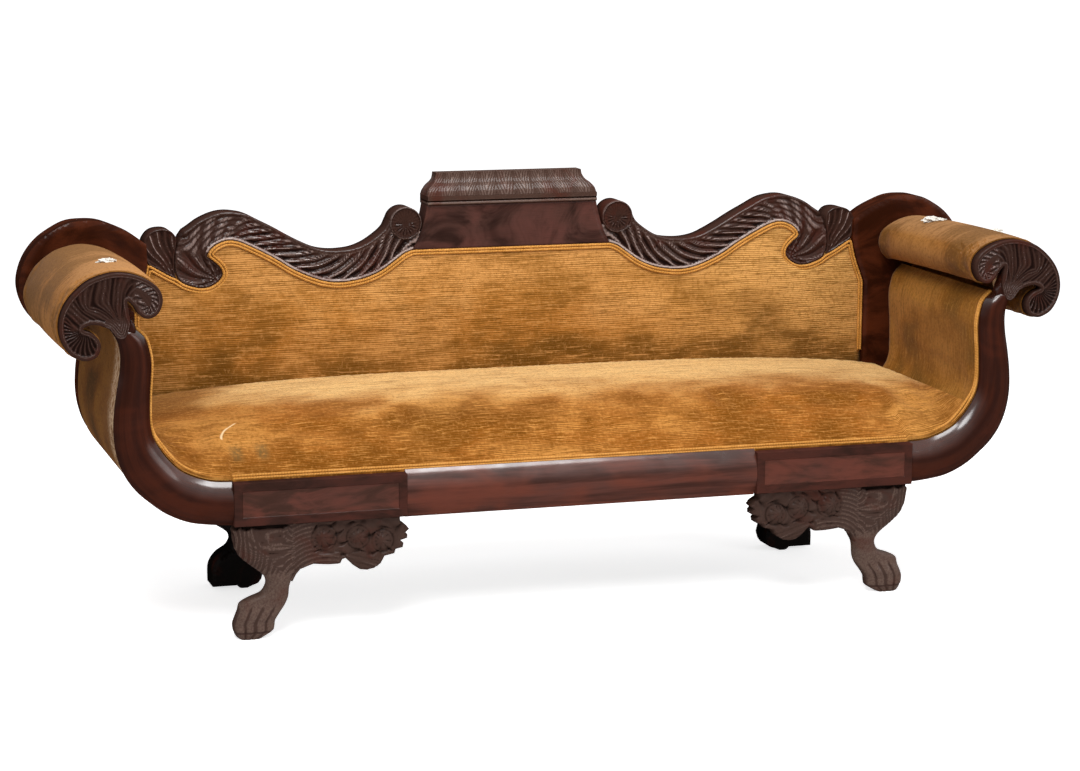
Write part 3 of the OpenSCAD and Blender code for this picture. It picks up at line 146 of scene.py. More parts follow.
# Outlines of the legs and brackets, as shares of their width and height
LEG_OUTER = (
    (1, 1), (0.993, 0.9), (0.964, 0.805), (0.89, 0.72), (0.754, 0.65), (0.616, 0.59), (0.522, 0.54),
    (0.486, 0.488), (0.507, 0.435), (0.58, 0.386), (0.754, 0.35), (0.884, 0.31), (0.92, 0.248),
    (0.964, 0.187), (0.993, 0.134), (0.978, 0.073), (0.935, 0.024), (0.89, 0),
)
LEG_INNER = (
    (0.565, 0), (0.464, 0.033), (0.377, 0.065), (0.355, 0.106), (0.34, 0.154), (0.275, 0.211),
    (0.196, 0.272), (0.145, 0.341), (0.13, 0.435), (0.1, 0.496), (0.058, 0.561), (0, 0.598), (0, 1),
)
LEG_FRONT = ((0, 1), (0, 0.62), (0.08, 0.52), (0.22, 0.42), (0.3, 0.3), (0.26, 0.18), (0.28, 0.08), (0.36, 0))
BRACKET = (
    (1, 0.108), (0.935, 0.153), (0.88, 0.19), (0.746, 0.162), (0.634, 0.162), (0.616, 0.234),
    (0.586, 0.252), (0.556, 0.19), (0.517, 0.108), (0.453, 0.018), (0.388, 0), (0.323, 0.027),
    (0.263, 0.108), (0.228, 0.243), (0.138, 0.28), (0.125, 0.36), (0.06, 0.387), (0.052, 0.468),
    (0.082, 0.523), (0.017, 0.559), (0.017, 0.63), (0.034, 0.667), (0, 0.73), (0.03, 0.81),
    (0.082, 0.874), (0.086, 1), (1, 1),
)
FRUITS = ((0.78, 0.667, 1.1), (0.47, 0.64, 1), (0.246, 0.54, 0.95))
REAR_FOOT = (
    (0.974, 1), (0.955, 0.806), (0.857, 0.694), (0.708, 0.605), (0.558, 0.54), (0.455, 0.476),
    (0.422, 0.411), (0.48, 0.351), (0.61, 0.298), (0.695, 0.234), (0.734, 0.161), (0.734, 0.028),
    (0.383, 0.028), (0.35, 0.008), (0.318, 0), (0.234, 0), (0.201, 0.008), (0.156, 0.02), (0.078, 0.036),
    (0.032, 0.073), (0, 0.137), (0.04, 0.242), (0.104, 0.363), (0.117, 0.484), (0.085, 0.605),
    (0.065, 0.726), (0.065, 1),
)


class Side(Enum):
    """The two ends of the sofa."""

    LEFT = "left"
    RIGHT = "right"

    def __str__(self) -> str:
        """Its name in the names of the pieces."""
        return self.value


@dataclass(frozen=True)
class Plan:
    """Sizes of the construction in millimetres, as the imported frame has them.

    Attributes:
        depth: Depth of the sofa.
        rail_z: Height of the underside of the front rail.
        block_h: Height of that rail.
        block_reach: Distance from the middle to the outer end of a rail block.
        block_l: Length of a rail block.
        facing_t: Thickness of the facings.
        facing_edge: Thickness of an arm facing at its edges.
        arm_run: Run of an arm facing outwards.
        arm_rise: Its rise from the foot of the block.
        scroll_run: Distance from the block's end to the scroll.
        scroll_rise: Height of the scroll's foot over the rail's.
        scroll_w: Width of a scroll.
        scroll_h: Height of a scroll.
        post_t: Thickness of a rear post.
        crest_t: Thickness of the crest.
        crest_rise: Height of the crest's lowest hollow over the rail's foot.
        crest_h: Height of the crest from there.
        back_run: Distance from the block's end to the side of the back.
        crest_set: Distance from there to the outer tip of the crest.
        tablet_half: Half the width of the tablet at its foot.
        tablet_flare: How much narrower each side is at the tablet's top.
        tablet_h: Height of the tablet.
        cap_h: Height of its cap.
        cap_d: Depth of the cap.
        cap_lip: Stand of the cap in front of the crest.
        stile_w: Width of a back stile.
        seat_fall: Fall of the seat from its middle to the arms.
    """

    depth: float = 600
    rail_z: float = 246
    block_h: float = 90
    block_reach: float = 750
    block_l: float = 363
    facing_t: float = 24
    facing_edge: float = 3
    arm_run: float = 238
    arm_rise: float = 404
    scroll_run: float = 137
    scroll_rise: float = 356
    scroll_w: float = 207
    scroll_h: float = 173
    post_t: float = 68
    crest_t: float = 56
    crest_rise: float = 414
    crest_h: float = 165
    back_run: float = 109
    crest_set: float = 27
    tablet_half: float = 232
    tablet_flare: float = 34
    tablet_h: float = 98
    cap_h: float = 69
    cap_d: float = 70
    cap_lip: float = 6
    stile_w: float = 44
    seat_fall: float = 27

    @property
    def rail_top(self) -> float:
        """Height of the top of the front rail."""
        return self.rail_z + self.block_h

    @property
    def back_half(self) -> float:
        """Half the width of the back."""
        return self.block_reach + self.back_run

    @property
    def crest_l(self) -> float:
        """Length of one half of the crest."""
        return self.back_half - self.crest_set - self.tablet_half

    @property
    def crest_z(self) -> float:
        """Height of the lowest hollow of the crest."""
        return self.rail_z + self.crest_rise

    @property
    def tablet_z(self) -> float:
        """Height of the foot of the tablet."""
        return self.crest_z + 0.412 * self.crest_h

    @property
    def tablet_top(self) -> float:
        """Height of the top of the tablet."""
        return self.tablet_z + self.tablet_h

    @property
    def crest_front(self) -> float:
        """Depth of the front of the crest."""
        return self.depth - self.cap_d + self.cap_lip

    @property
    def frame_back(self) -> float:
        """Depth of the back of the crest and the posts."""
        return self.crest_front + self.crest_t

    @property
    def post_front(self) -> float:
        """Depth of the front of a rear post."""
        return self.frame_back - self.post_t

    def outer(self, steps: int = STEPS) -> np.ndarray:
        """Outer edge of an arm facing, from the block up to the neck."""
        size = (self.arm_run, self.arm_rise)
        return smooth_open(placed(FACING_OUTER, (self.block_reach, self.rail_z), size), steps)

    def inner(self, steps: int = STEPS) -> np.ndarray:
        """Inner edge of an arm facing, from the block up to the neck."""
        size = (self.arm_run, self.arm_rise - self.block_h)
        return smooth_open(placed(FACING_INNER, (self.block_reach, self.rail_top), size), steps)

    def scroll(self, share: Shares) -> np.ndarray:
        """Points in the box of an arm scroll."""
        corner = (self.block_reach + self.scroll_run, self.rail_z + self.scroll_rise)
        return placed(share, corner, (self.scroll_w, self.scroll_h))

    def crest(self, share: Shares) -> np.ndarray:
        """Points in the box of one half of the crest."""
        return placed(share, (self.tablet_half, self.crest_z), (self.crest_l, self.crest_h))

    def panel_side(self) -> np.ndarray:
        """Side of the back beside the post, from the seat up to the ear."""
        return placed(PANEL_SIDE, (self.back_half, self.crest_z), (self.stile_w, self.crest_h))

    def panel_edge(self) -> np.ndarray:
        """The same side as a smooth curve, from the ear down."""
        return smooth_open(self.panel_side(), 4)[::-1]


def placed(shares: Shares, corner: Sequence[float], size: Sequence[float]) -> np.ndarray:
    """Points given as shares of a box of that size that stands at that corner."""
    return np.asarray(shares, float) * np.asarray(size, float) + np.asarray(corner, float)


def smoothed(points: np.ndarray, closed: bool, steps: int) -> np.ndarray:
    """A smooth curve through points.

    Args:
        points: The points that it passes through.
        closed: Whether it runs back to its start.
        steps: Steps that each stretch is drawn in.

    Returns:
        The points of the curve.
    """
    count = len(points)
    last = count if closed else count - 1
    at = (lambda i: i % count) if closed else (lambda i: min(max(i, 0), count - 1))
    out = []
    for i in range(last):
        a, b, c, d = (points[at(i + k)] for k in (-1, 0, 1, 2))
        for t in np.arange(steps) / steps:
            bend = (2 * a - 5 * b + 4 * c - d) * t**2 + (3 * b - a - 3 * c + d) * t**3
            out.append((2 * b + (c - a) * t + bend) / 2)
    if not closed:
        out.append(points[-1])
    return np.array(out)


def smooth_open(points: np.ndarray, steps: int = STEPS) -> np.ndarray:
    """A smooth open curve through points."""
    return smoothed(points, False, steps)


def smooth_closed(points: np.ndarray, steps: int = STEPS) -> np.ndarray:
    """A smooth closed curve through points."""
    return smoothed(points, True, steps)


def run(path: np.ndarray) -> np.ndarray:
    """Distance along a path at each of its points."""
    return np.concatenate([[0], np.cumsum(np.linalg.norm(np.diff(path, axis=0), axis=1))])


def resampled(path: np.ndarray, count: int) -> np.ndarray:
    """The path in equal steps, with that count of points."""
    length = run(path)
    at = np.linspace(0, length[-1], count)
    return np.stack([np.interp(at, length, path[:, k]) for k in range(path.shape[1])], axis=1)


def left_normals(path: np.ndarray) -> np.ndarray:
    """Unit normals to the left of an open path."""
    t = np.gradient(path, axis=0)
    t /= np.linalg.norm(t, axis=1)[:, None]
    return np.stack([-t[:, 1], t[:, 0]], axis=1)


def shifted(path: np.ndarray, d: float | np.ndarray) -> np.ndarray:
    """The path moved to its left by d."""
    return path + np.reshape(d, (-1, 1)) * left_normals(path)


def ease(t: np.ndarray | float) -> np.ndarray:
    """Smooth rise from 0 to 1 as t goes from 0 to 1."""
    c = np.clip(t, 0, 1)
    return c * c * (3 - 2 * c)


def bump(t: np.ndarray) -> np.ndarray:
    """Smooth hill: 1 at t = 0 that falls to 0 at t = 1 and beyond."""
    return ease(1 - np.abs(t))


def blend(first: np.ndarray | float, second: np.ndarray | float, share: np.ndarray | float) -> np.ndarray:
    """The first where the share is 0, the second where it is 1."""
    return first * (1 - share) + second * share


def rounded(gap: np.ndarray | float, radius: float) -> np.ndarray | float:
    """Sinking of an edge that is rounded to a radius, at a distance from it."""
    return radius * (1 - np.sqrt(1 - np.clip(1 - gap / radius, 0, 1) ** 2))


def apart(points: np.ndarray, place: np.ndarray) -> np.ndarray:
    """Distance of each point from a place."""
    return np.hypot(*(points - place).T)


def stood(flat: np.ndarray, y: np.ndarray | float) -> np.ndarray:
    """Points of x and z, stood at a depth."""
    return np.stack([flat[..., 0], np.broadcast_to(y, flat.shape[:-1]), flat[..., 1]], axis=-1)


def lay_of(along: np.ndarray, across: np.ndarray) -> np.ndarray:
    """Lay of a grid in metres, from its distances along and across in millimetres."""
    along, across = np.broadcast_arrays(along, across)
    return np.stack([along, across, 0 * across], axis=-1) * MM


def flipped(path: np.ndarray) -> np.ndarray:
    """The path on the other side of the sofa, run the other way."""
    return (path * (-1, *[1] * (path.shape[1] - 1)))[::-1]


def area_of(outline: np.ndarray) -> float:
    """Area of a closed outline in square metres, positive where it runs anticlockwise."""
    x, y = outline.T
    return float(np.dot(x, np.roll(y, -1)) - np.dot(y, np.roll(x, -1))) / 2 * MM**2


def metres(points: np.ndarray) -> np.ndarray:
    """Points in millimetres from the rail's face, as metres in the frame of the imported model."""
    return (points - (0, Plan().depth / 2, 0)) * MM


def linked(name: str, data: bpy.types.ID) -> bpy.types.Object:
    """A new object of that data, linked into the scene."""
    made = bpy.data.objects.new(name, data)
    bpy.context.scene.collection.objects.link(made)
    return made


def marked(mesh: bpy.types.Mesh, label: str, values: np.ndarray) -> None:
    """Stores a number or a vector for each point of a mesh."""
    kind, key = ("FLOAT_VECTOR", "vector") if values.ndim == 2 else ("FLOAT", "value")
    mesh.attributes.new(label, kind, "POINT").data.foreach_set(key, values.astype(np.float32).ravel())


def nearest(points: np.ndarray, path: np.ndarray) -> tuple[np.ndarray, np.ndarray]:
    """Distance from each point to a path, and how far along the path the nearest place lies."""
    a, b = path[:-1], path[1:]
    d = b - a
    length = np.linalg.norm(d, axis=1)
    t = np.einsum("nmk,mk->nm", points[:, None] - a[None], d) / np.maximum(length**2, 1e-12)
    t = np.clip(t, 0, 1)
    gap = np.linalg.norm(points[:, None] - (a[None] + t[..., None] * d[None]), axis=2)
    best = gap.argmin(1)
    row = np.arange(len(points))
    return gap[row, best], run(path)[best] + t[row, best] * length[best]


def ring(path: np.ndarray) -> np.ndarray:
    """A closed outline with its first point repeated at its end."""
    return np.vstack([path, path[:1]])


def inside(points: np.ndarray, outline: np.ndarray) -> np.ndarray:
    """Whether each point lies inside a closed outline."""
    a, b = outline, np.roll(outline, -1, axis=0)
    x, y = points[:, 0][:, None], points[:, 1][:, None]
    crosses = (a[:, 1] > y) != (b[:, 1] > y)
    span = np.where(b[:, 1] == a[:, 1], 1, b[:, 1] - a[:, 1])
    return ((crosses & (x < (b[:, 0] - a[:, 0]) * (y - a[:, 1]) / span + a[:, 0])).sum(1) % 2) == 1


def anticlockwise(outline: np.ndarray) -> np.ndarray:
    """The closed outline, turned if need be so that it runs anticlockwise."""
    return outline if area_of(outline) > 0 else outline[::-1]


def divided(outline: np.ndarray, spacing: float) -> np.ndarray:
    """The closed outline with each long stretch cut into steps of about the spacing."""
    out = []
    for a, b in zip(outline, np.roll(outline, -1, axis=0)):
        count = max(1, round(float(np.linalg.norm(b - a)) / spacing))
        out.extend(a + (b - a) * k / count for k in range(count))
    return np.array(out)


@dataclass
class Form:
    """A mesh in the making, in millimetres, with y from the face of the front rail.

    Attributes:
        points: Places of the points.
        faces: Faces as tuples of point numbers.
        lay: Place on the surface in metres: along the grain or ribs, across them, and through.
        relief: Height of the carving from 0 in its hollows to 1 on its ridges; the carving's colour follows
            it, with painted shade low and painted glints high.
    """

    points: np.ndarray
    faces: list[tuple[int, ...]]
    lay: np.ndarray | None = None
    relief: np.ndarray | None = None

    def mirrored(self) -> "Form":
        """The form on the other side of the sofa."""
        return Form(self.points * (-1, 1, 1), [f[::-1] for f in self.faces], self.lay, self.relief)

    def on(self, side: Side) -> "Form":
        """The form as drawn for the right side, or mirrored for the left."""
        return self if side is Side.RIGHT else self.mirrored()

    def joined(self, *others: "Form") -> "Form":
        """This form and others as one."""
        forms = (self, *others)
        starts = np.cumsum([0] + [len(form.points) for form in forms])
        faces = [tuple(i + int(n) for i in f) for form, n in zip(forms, starts) for f in form.faces]
        lay, relief = (
            None if any(part is None for part in parts) else np.concatenate(parts)
            for parts in ([form.lay for form in forms], [form.relief for form in forms])
        )
        return Form(np.vstack([form.points for form in forms]), faces, lay, relief)

    def paired(self) -> "Form":
        """The form with its mirror image."""
        return self.joined(self.mirrored())

    def mesh(self, name: str) -> bpy.types.Mesh:
        """The form as a mesh in metres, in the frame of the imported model, with its faces outwards."""
        mesh = bpy.data.meshes.new(name)
        mesh.from_pydata(metres(self.points).tolist(), [], self.faces)
        for label, values in (("lay", self.lay), ("relief", self.relief)):
            if values is not None:
                marked(mesh, label, values)
        work = bmesh.new()
        work.from_mesh(mesh)
        bmesh.ops.recalc_face_normals(work, faces=work.faces)
        work.to_mesh(mesh)
        work.free()
        return mesh


def quads(rows: int, cols: int, wrap: bool = False) -> list[tuple[int, ...]]:
    """Faces of a grid of points.

    Args:
        rows: Rows of points.
        cols: Points in a row.
        wrap: Whether each row closes on itself.

    Returns:
        Faces of four points each.
    """
    out = []
    for j in range(rows - 1):
        for i in range(cols if wrap else cols - 1):
            a, b = j * cols + i, j * cols + (i + 1) % cols
            out.append((a, b, b + cols, a + cols))
    return out


def capped(rows: int, cols: int, wrap: bool = True) -> list[tuple[int, ...]]:
    """Faces of a grid of points, with its first and last rows closed."""
    at = np.arange(rows * cols).reshape(rows, cols)
    return [*quads(rows, cols, wrap), tuple(at[0, ::-1].tolist()), tuple(at[-1].tolist())]


def slab(front: np.ndarray, back: np.ndarray, lay: np.ndarray) -> Form:
    """A closed slab between two grids of points, whose lay follows the front.

    Args:
        front: Grid of points, rows by columns by three.
        back: Grid of the same size behind it.
        lay: Grid of the same size with the place on the surface, in metres.

    Returns:
        The closed form.
    """
    rows, cols = front.shape[:2]
    n = rows * cols
    faces = quads(rows, cols)
    faces += [tuple(i + n for i in f[::-1]) for f in faces]
    at = np.arange(n).reshape(rows, cols)
    edge = np.concatenate([at[0], at[1:, -1], at[-1, -2::-1], at[-2:0:-1, 0]]).tolist()
    faces += [(b, a, a + n, b + n) for a, b in zip(edge, edge[1:] + edge[:1])]
    points = np.vstack([front.reshape(-1, 3), back.reshape(-1, 3)])
    return Form(points, faces, np.vstack([lay.reshape(-1, 3)] * 2), np.ones(2 * n))


def plain(points: np.ndarray, gap: np.ndarray) -> tuple[np.ndarray, np.ndarray]:
    """A face without carving."""
    return 0 * gap, np.full(len(points), FLAT_RELIEF)


def board(
    outline: np.ndarray, front: float, back: float, spacing: float, carve: Carving = plain, rim: float = 2
) -> Form:
    """A board cut to an outline in x and z, with a rounded front edge and a carved face.

    Args:
        outline: Closed outline.
        front: Depth of its face.
        back: Depth of its back.
        spacing: Distance between the points of its face.
        carve: Rule that gives the sinking of the face, and its relief, at points and distances from the edge.
        rim: Radius of the rounding along the edge.

    Returns:
        The closed form.
    """
    edge = divided(anticlockwise(outline), spacing)
    low, high = edge.min(0), edge.max(0)
    rows = []
    for k, z in enumerate(np.arange(low[1], high[1], spacing * math.sqrt(3) / 2)):
        xs = np.arange(low[0] + (k % 2) * spacing / 2, high[0], spacing)
        rows.append(np.column_stack([xs, np.full(len(xs), z)]))
    field = np.vstack(rows)
    field = field[inside(field, edge)]
    field = field[nearest(field, ring(edge))[0] > 0.6 * spacing]
    n = len(edge)
    loop = list(range(n))
    pairs = [(i, (i + 1) % n) for i in loop]
    (found, _, faces, *_), (_, _, rear, *_) = (
        delaunay_2d_cdt([Vector(p) for p in flat], pairs, [loop], 1, WELD)
        for flat in (np.vstack([edge, field]), edge)
    )
    flat = np.array([tuple(p) for p in found])
    gap = nearest(flat, ring(edge))[0]
    sink, relief = carve(flat, gap)
    m = len(flat)
    y = np.minimum(front + sink + rounded(gap, rim), back - 1)
    points = np.vstack([stood(flat, y), stood(edge, back)])
    sides = [(a, m + a, m + b, b) for a, b in pairs]
    rear_faces = [tuple(m + i for i in f[::-1]) for f in rear]
    relief = np.concatenate([relief, np.full(n, SIDE_RELIEF)])
    return Form(points, [tuple(f) for f in faces] + sides + rear_faces, points[:, [0, 2, 1]] * MM, relief)


class Wire:
    """An output of a node that Python's operators work on."""

    def __init__(self, graph: "Graph", socket: bpy.types.NodeSocket) -> None:
        """Wraps a socket of that graph."""
        self.graph = graph
        self.socket = socket

    def math(self, operation: str, *values: "Wire | float") -> "Wire":
        """A Math node on these values."""
        return self.graph.node("ShaderNodeMath", {"operation": operation}, dict(enumerate(values)))

    def __add__(self, other: "Wire | float") -> "Wire":
        """The sum."""
        return self.math("ADD", self, other)

    __radd__ = __add__

    def __sub__(self, other: "Wire | float") -> "Wire":
        """The difference."""
        return self.math("SUBTRACT", self, other)

    def __rsub__(self, other: float) -> "Wire":
        """The difference from a number."""
        return self.math("SUBTRACT", other, self)

    def __mul__(self, other: "Wire | float") -> "Wire":
        """The product."""
        return self.math("MULTIPLY", self, other)

    __rmul__ = __mul__

    def __truediv__(self, other: "Wire | float") -> "Wire":
        """The quotient."""
        return self.math("DIVIDE", self, other)

    def __rtruediv__(self, other: float) -> "Wire":
        """The quotient of a number."""
        return self.math("DIVIDE", other, self)

    def __pow__(self, power: float) -> "Wire":
        """The power."""
        return self.math("POWER", self, power)

    def most(self, other: "Wire") -> "Wire":
        """The larger of the two."""
        return self.math("MAXIMUM", self, other)

    def sine(self) -> "Wire":
        """The sine."""
        return self.math("SINE", self)

    def wave(self) -> "Wire":
        """A wave between 0 and 1 that comes back at each whole number."""
        return (self * math.tau).sine() * 0.5 + 0.5

    def size(self) -> "Wire":
        """The value without its sign."""
        return self.math("ABSOLUTE", self)

    def ramp(self, low: float, high: float, to: tuple[float, float] = (0, 1)) -> "Wire":
        """A smooth rise from to[0] to to[1] as the value goes from low to high."""
        settings = {"interpolation_type": "SMOOTHSTEP"}
        inputs = {"Value": self, "From Min": low, "From Max": high, "To Min": to[0], "To Max": to[1]}
        return self.graph.node("ShaderNodeMapRange", settings, inputs)

    def scaled(self, x: float, y: float, z: float) -> "Wire":
        """The vector with each part scaled."""
        return self.graph.node("ShaderNodeVectorMath", {"operation": "MULTIPLY"}, {0: self, 1: (x, y, z)})

    def parts(self) -> tuple["Wire", "Wire", "Wire"]:
        """The three parts of a vector."""
        split = self.graph.node("ShaderNodeSeparateXYZ", {}, {0: self})
        return tuple(Wire(self.graph, split.socket.node.outputs[k]) for k in range(3))


class Graph:
    """A node tree with one method that adds any node."""

    def __init__(self, tree: bpy.types.NodeTree) -> None:
        """Works on that tree."""
        self.tree = tree

    def node(
        self, kind: str, settings: dict | None = None, inputs: dict | None = None, out: int | str = 0
    ) -> Wire:
        """Adds a node.

        Args:
            kind: Type of the node.
            settings: Values of its own properties, set first.
            inputs: Values or wires of its sockets, by name or number.
            out: Name or number of the output that is wanted.

        Returns:
            That output.
        """
        node = self.tree.nodes.new(kind)
        for key, value in (settings or {}).items():
            setattr(node, key, value)
        self.fill(node.inputs, inputs or {})
        return Wire(self, node.outputs[out])

    def fill(self, sockets: bpy.types.NodeInputs, values: dict) -> None:
        """Sets sockets, by name or number, to values or wires."""
        for key, value in values.items():
            if isinstance(value, Wire):
                self.tree.links.new(value.socket, sockets[key])
            else:
                sockets[key].default_value = value

    def mix(self, share: Wire | float, first: "Wire | tuple", second: "Wire | tuple") -> Wire:
        """A colour between two colours."""
        return self.node("ShaderNodeMix", {"data_type": "RGBA"}, {0: share, 6: first, 7: second}, 2)

    def washed(self, colour: Wire, *coats: tuple[Wire, str]) -> Wire:
        """A colour under coats of others, each with its share and its code."""
        for share, code in coats:
            colour = self.mix(share, colour, tint(code))
        return colour

    def noise(
        self, at: Wire, scale: float = 1, detail: float = 2, rough: float = 0.5, twist: float = 0
    ) -> Wire:
        """Soft noise at a place."""
        inputs = {"Vector": at, "Scale": scale, "Detail": detail, "Roughness": rough, "Distortion": twist}
        return self.node("ShaderNodeTexNoise", {}, inputs)

    def place(self) -> Wire:
        """Place on the object, in metres."""
        return self.node("ShaderNodeTexCoord", out="Object")

    def lay(self) -> Wire:
        """Place along and across the surface, in metres."""
        return self.node("ShaderNodeAttribute", {"attribute_name": "lay"}, out="Vector")

    def facing(self) -> tuple[Wire, Wire, Wire]:
        """The way that the surface faces, in its three parts."""
        return self.node("ShaderNodeNewGeometry", out="True Normal").parts()

    def polish(self, low: float, high: float) -> Wire:
        """Weight of the polish: low on upright faces, high on those that lean back."""
        _, y, z = self.facing()
        return z.ramp(0.05, 0.6, (low, high)) * y.size().ramp(0.08, 0.4, (0.08, 1))

    def relief(self) -> Wire:
        """Height of the carving."""
        return self.node("ShaderNodeAttribute", {"attribute_name": "relief"}, out="Fac")

    def bumped(self, height: Wire, depth: float, strength: float = 1) -> Wire:
        """A normal bumped by a height between 0 and 1, as deep as that in metres."""
        return self.node("ShaderNodeBump", {}, {"Height": height, "Distance": depth, "Strength": strength})


def tint(code: str) -> tuple[float, float, float, float]:
    """The linear colour of a code of six hexadecimal digits."""
    values = [int(code[k : k + 2], 16) / 255 for k in (0, 2, 4)]
    return (*[c / 12.92 if c <= 0.04045 else ((c + 0.055) / 1.055) ** 2.4 for c in values], 1.0)


Sockets = dict[str, "Wire | float | tuple"]


@dataclass(frozen=True)
class Finish:
    """A finish of one of the record's slots.

    Attributes:
        slot: The record's material slot.
    """

    slot: str

    def sockets(self, graph: Graph) -> Sockets:
        """Values of the shader's sockets."""
        raise NotImplementedError

    def material(self) -> bpy.types.Material:
        """The finish as a material, made once."""
        name = self.key()
        found = bpy.data.materials.get(name)
        if found:
            return found
        material = bpy.data.materials.new(name)
        material.use_nodes = True
        graph = Graph(material.node_tree)
        graph.fill(material.node_tree.nodes["Principled BSDF"].inputs, self.sockets(graph))
        return material

    def key(self) -> str:
        """The name that tells this finish from others of its kind."""
        return self.slot


class Figure(Enum):
    """How the figure of a veneer lies."""

    STRAIGHT = "straight"
    MOTTLED = "mottled"
    UPRIGHT = "upright"


@dataclass(frozen=True)
class Veneer(Finish):
    """Polished mahogany veneer.

    Attributes:
        dark: Colour of its dark figure.
        body: Colour of its body.
        warm: Colour of its red streaks.
        figure: How its figure lies.
        redness: Share of the surface that is red, from 0 to 1.
        gloss: Weight of its polish where it faces up.
        bordered: Whether its border is darker than its field.
    """

    dark: str = "24100c"
    body: str = "3f1f17"
    warm: str = "6b2c1b"
    figure: Figure = Figure.STRAIGHT
    redness: float = 0.4
    gloss: float = 0.8
    bordered: bool = False

    def key(self) -> str:
        """The name of this veneer."""
        return f"{self.figure.value}_{self.body}_{self.dark}"

    def sockets(self, graph: Graph) -> Sockets:
        """Streaks along the grain, clouds of figure and a thin worn polish."""
        stretch = {
            Figure.STRAIGHT: (2.2, 34, 34), Figure.MOTTLED: (7, 22, 22), Figure.UPRIGHT: (6, 9, 9),
        }[self.figure]
        twist = 0.3 if self.figure is Figure.STRAIGHT else 1.6
        streak = graph.noise(graph.lay().scaled(*stretch), 1, 4, 0.6, twist)
        pore = graph.noise(graph.lay().scaled(30, 900, 900), 1, 2, 0.6)
        cloud = graph.noise(graph.place().scaled(5, 5, 9), 1, 3, 0.55, 0.8)
        dust = graph.noise(graph.place(), 26, 3, 0.6)
        middle = 0.62 - 0.3 * self.redness
        colour = graph.washed(
            graph.mix(streak.ramp(0.36, 0.62), tint(self.dark), tint(self.body)),
            ((cloud * 0.6 + streak * 0.4).ramp(middle - 0.08, middle + 0.12, (0, 0.85)), self.warm),
            (pore.ramp(0.5, 0.75, (0, 0.3)), self.dark),
        )
        if self.bordered:
            colour = graph.washed(colour, (graph.relief().ramp(0.1, 0.9, (0.55, 0)), "1c0d0a"))
        return {
            "Base Color": colour,
            "Roughness": dust.ramp(0.3, 0.75, (0.3, 0.46)),
            "Coat Weight": graph.polish(0.03, self.gloss) * dust.ramp(0.25, 0.6, (1, 0.7)),
            "Coat Roughness": 0.17,
            "Coat IOR": 1.75,
            "Specular IOR Level": 0.0,
            "Normal": graph.bumped(pore * 0.4 + streak * 0.6, 0.0003, 0.5),
        }


@dataclass(frozen=True)
class Carved(Finish):
    """Carved mahogany under old polish, dark in its hollows from dust and painted shade, and light on its
    ridges from rubbing and painted glints.

    Attributes:
        hollow: Colour of its hollows: dust and painted shade.
        body: Colour of its body.
        ridge: Colour of its ridges: rubbing and painted glints.
        gloss: Weight of its polish where it faces up.
    """

    hollow: str = "080403"
    body: str = "2a1813"
    ridge: str = "5a423a"
    gloss: float = 0.7

    def key(self) -> str:
        """The name of this carving's colour."""
        return f"carved_{self.body}"

    def sockets(self, graph: Graph) -> Sockets:
        """Colour by the height of the carving, with painted shade in the hollows, painted glints on the
        ridges, tool marks and dust.
        """
        place = graph.place()
        marks = graph.noise(place.scaled(260, 260, 260), 1, 3, 0.6)
        clouds = graph.noise(place, 14, 3, 0.6, 0.5)
        height = graph.relief() + (marks - 0.5) * 0.3
        colour = graph.washed(
            graph.mix(height.ramp(0.06, 0.5), tint(self.hollow), tint(self.body)),
            (height.ramp(0.7, 1.0, (0, 0.8)), self.ridge),
            # Painted highlight where the relief passes 1.2, along the crest's bead.
            (height.ramp(1.2, 1.45, (0, 0.7)), "b3a49c"),
            (clouds.ramp(0.5, 0.72, (0, 0.5)) * height.ramp(0.1, 0.5), "42190f"),
        )
        return {
            "Base Color": colour,
            "Roughness": clouds.ramp(0.3, 0.7, (0.34, 0.5)),
            "Specular IOR Level": 0.0,
            "Coat Weight": graph.polish(0.06, self.gloss) * height.ramp(0.3, 0.9, (0.2, 1)),
            "Coat Roughness": 0.16,
            "Normal": graph.bumped(marks, 0.0004, 0.5),
        }


class Cover(Enum):
    """The part of the sofa that a piece of velvet covers, which gives it wear, colours and painted light and
    shade of its own.
    """

    SEAT = "seat"
    BACK = "back"
    ROLL = "roll"
    INNER = "inner"
    OUTER = "outer"


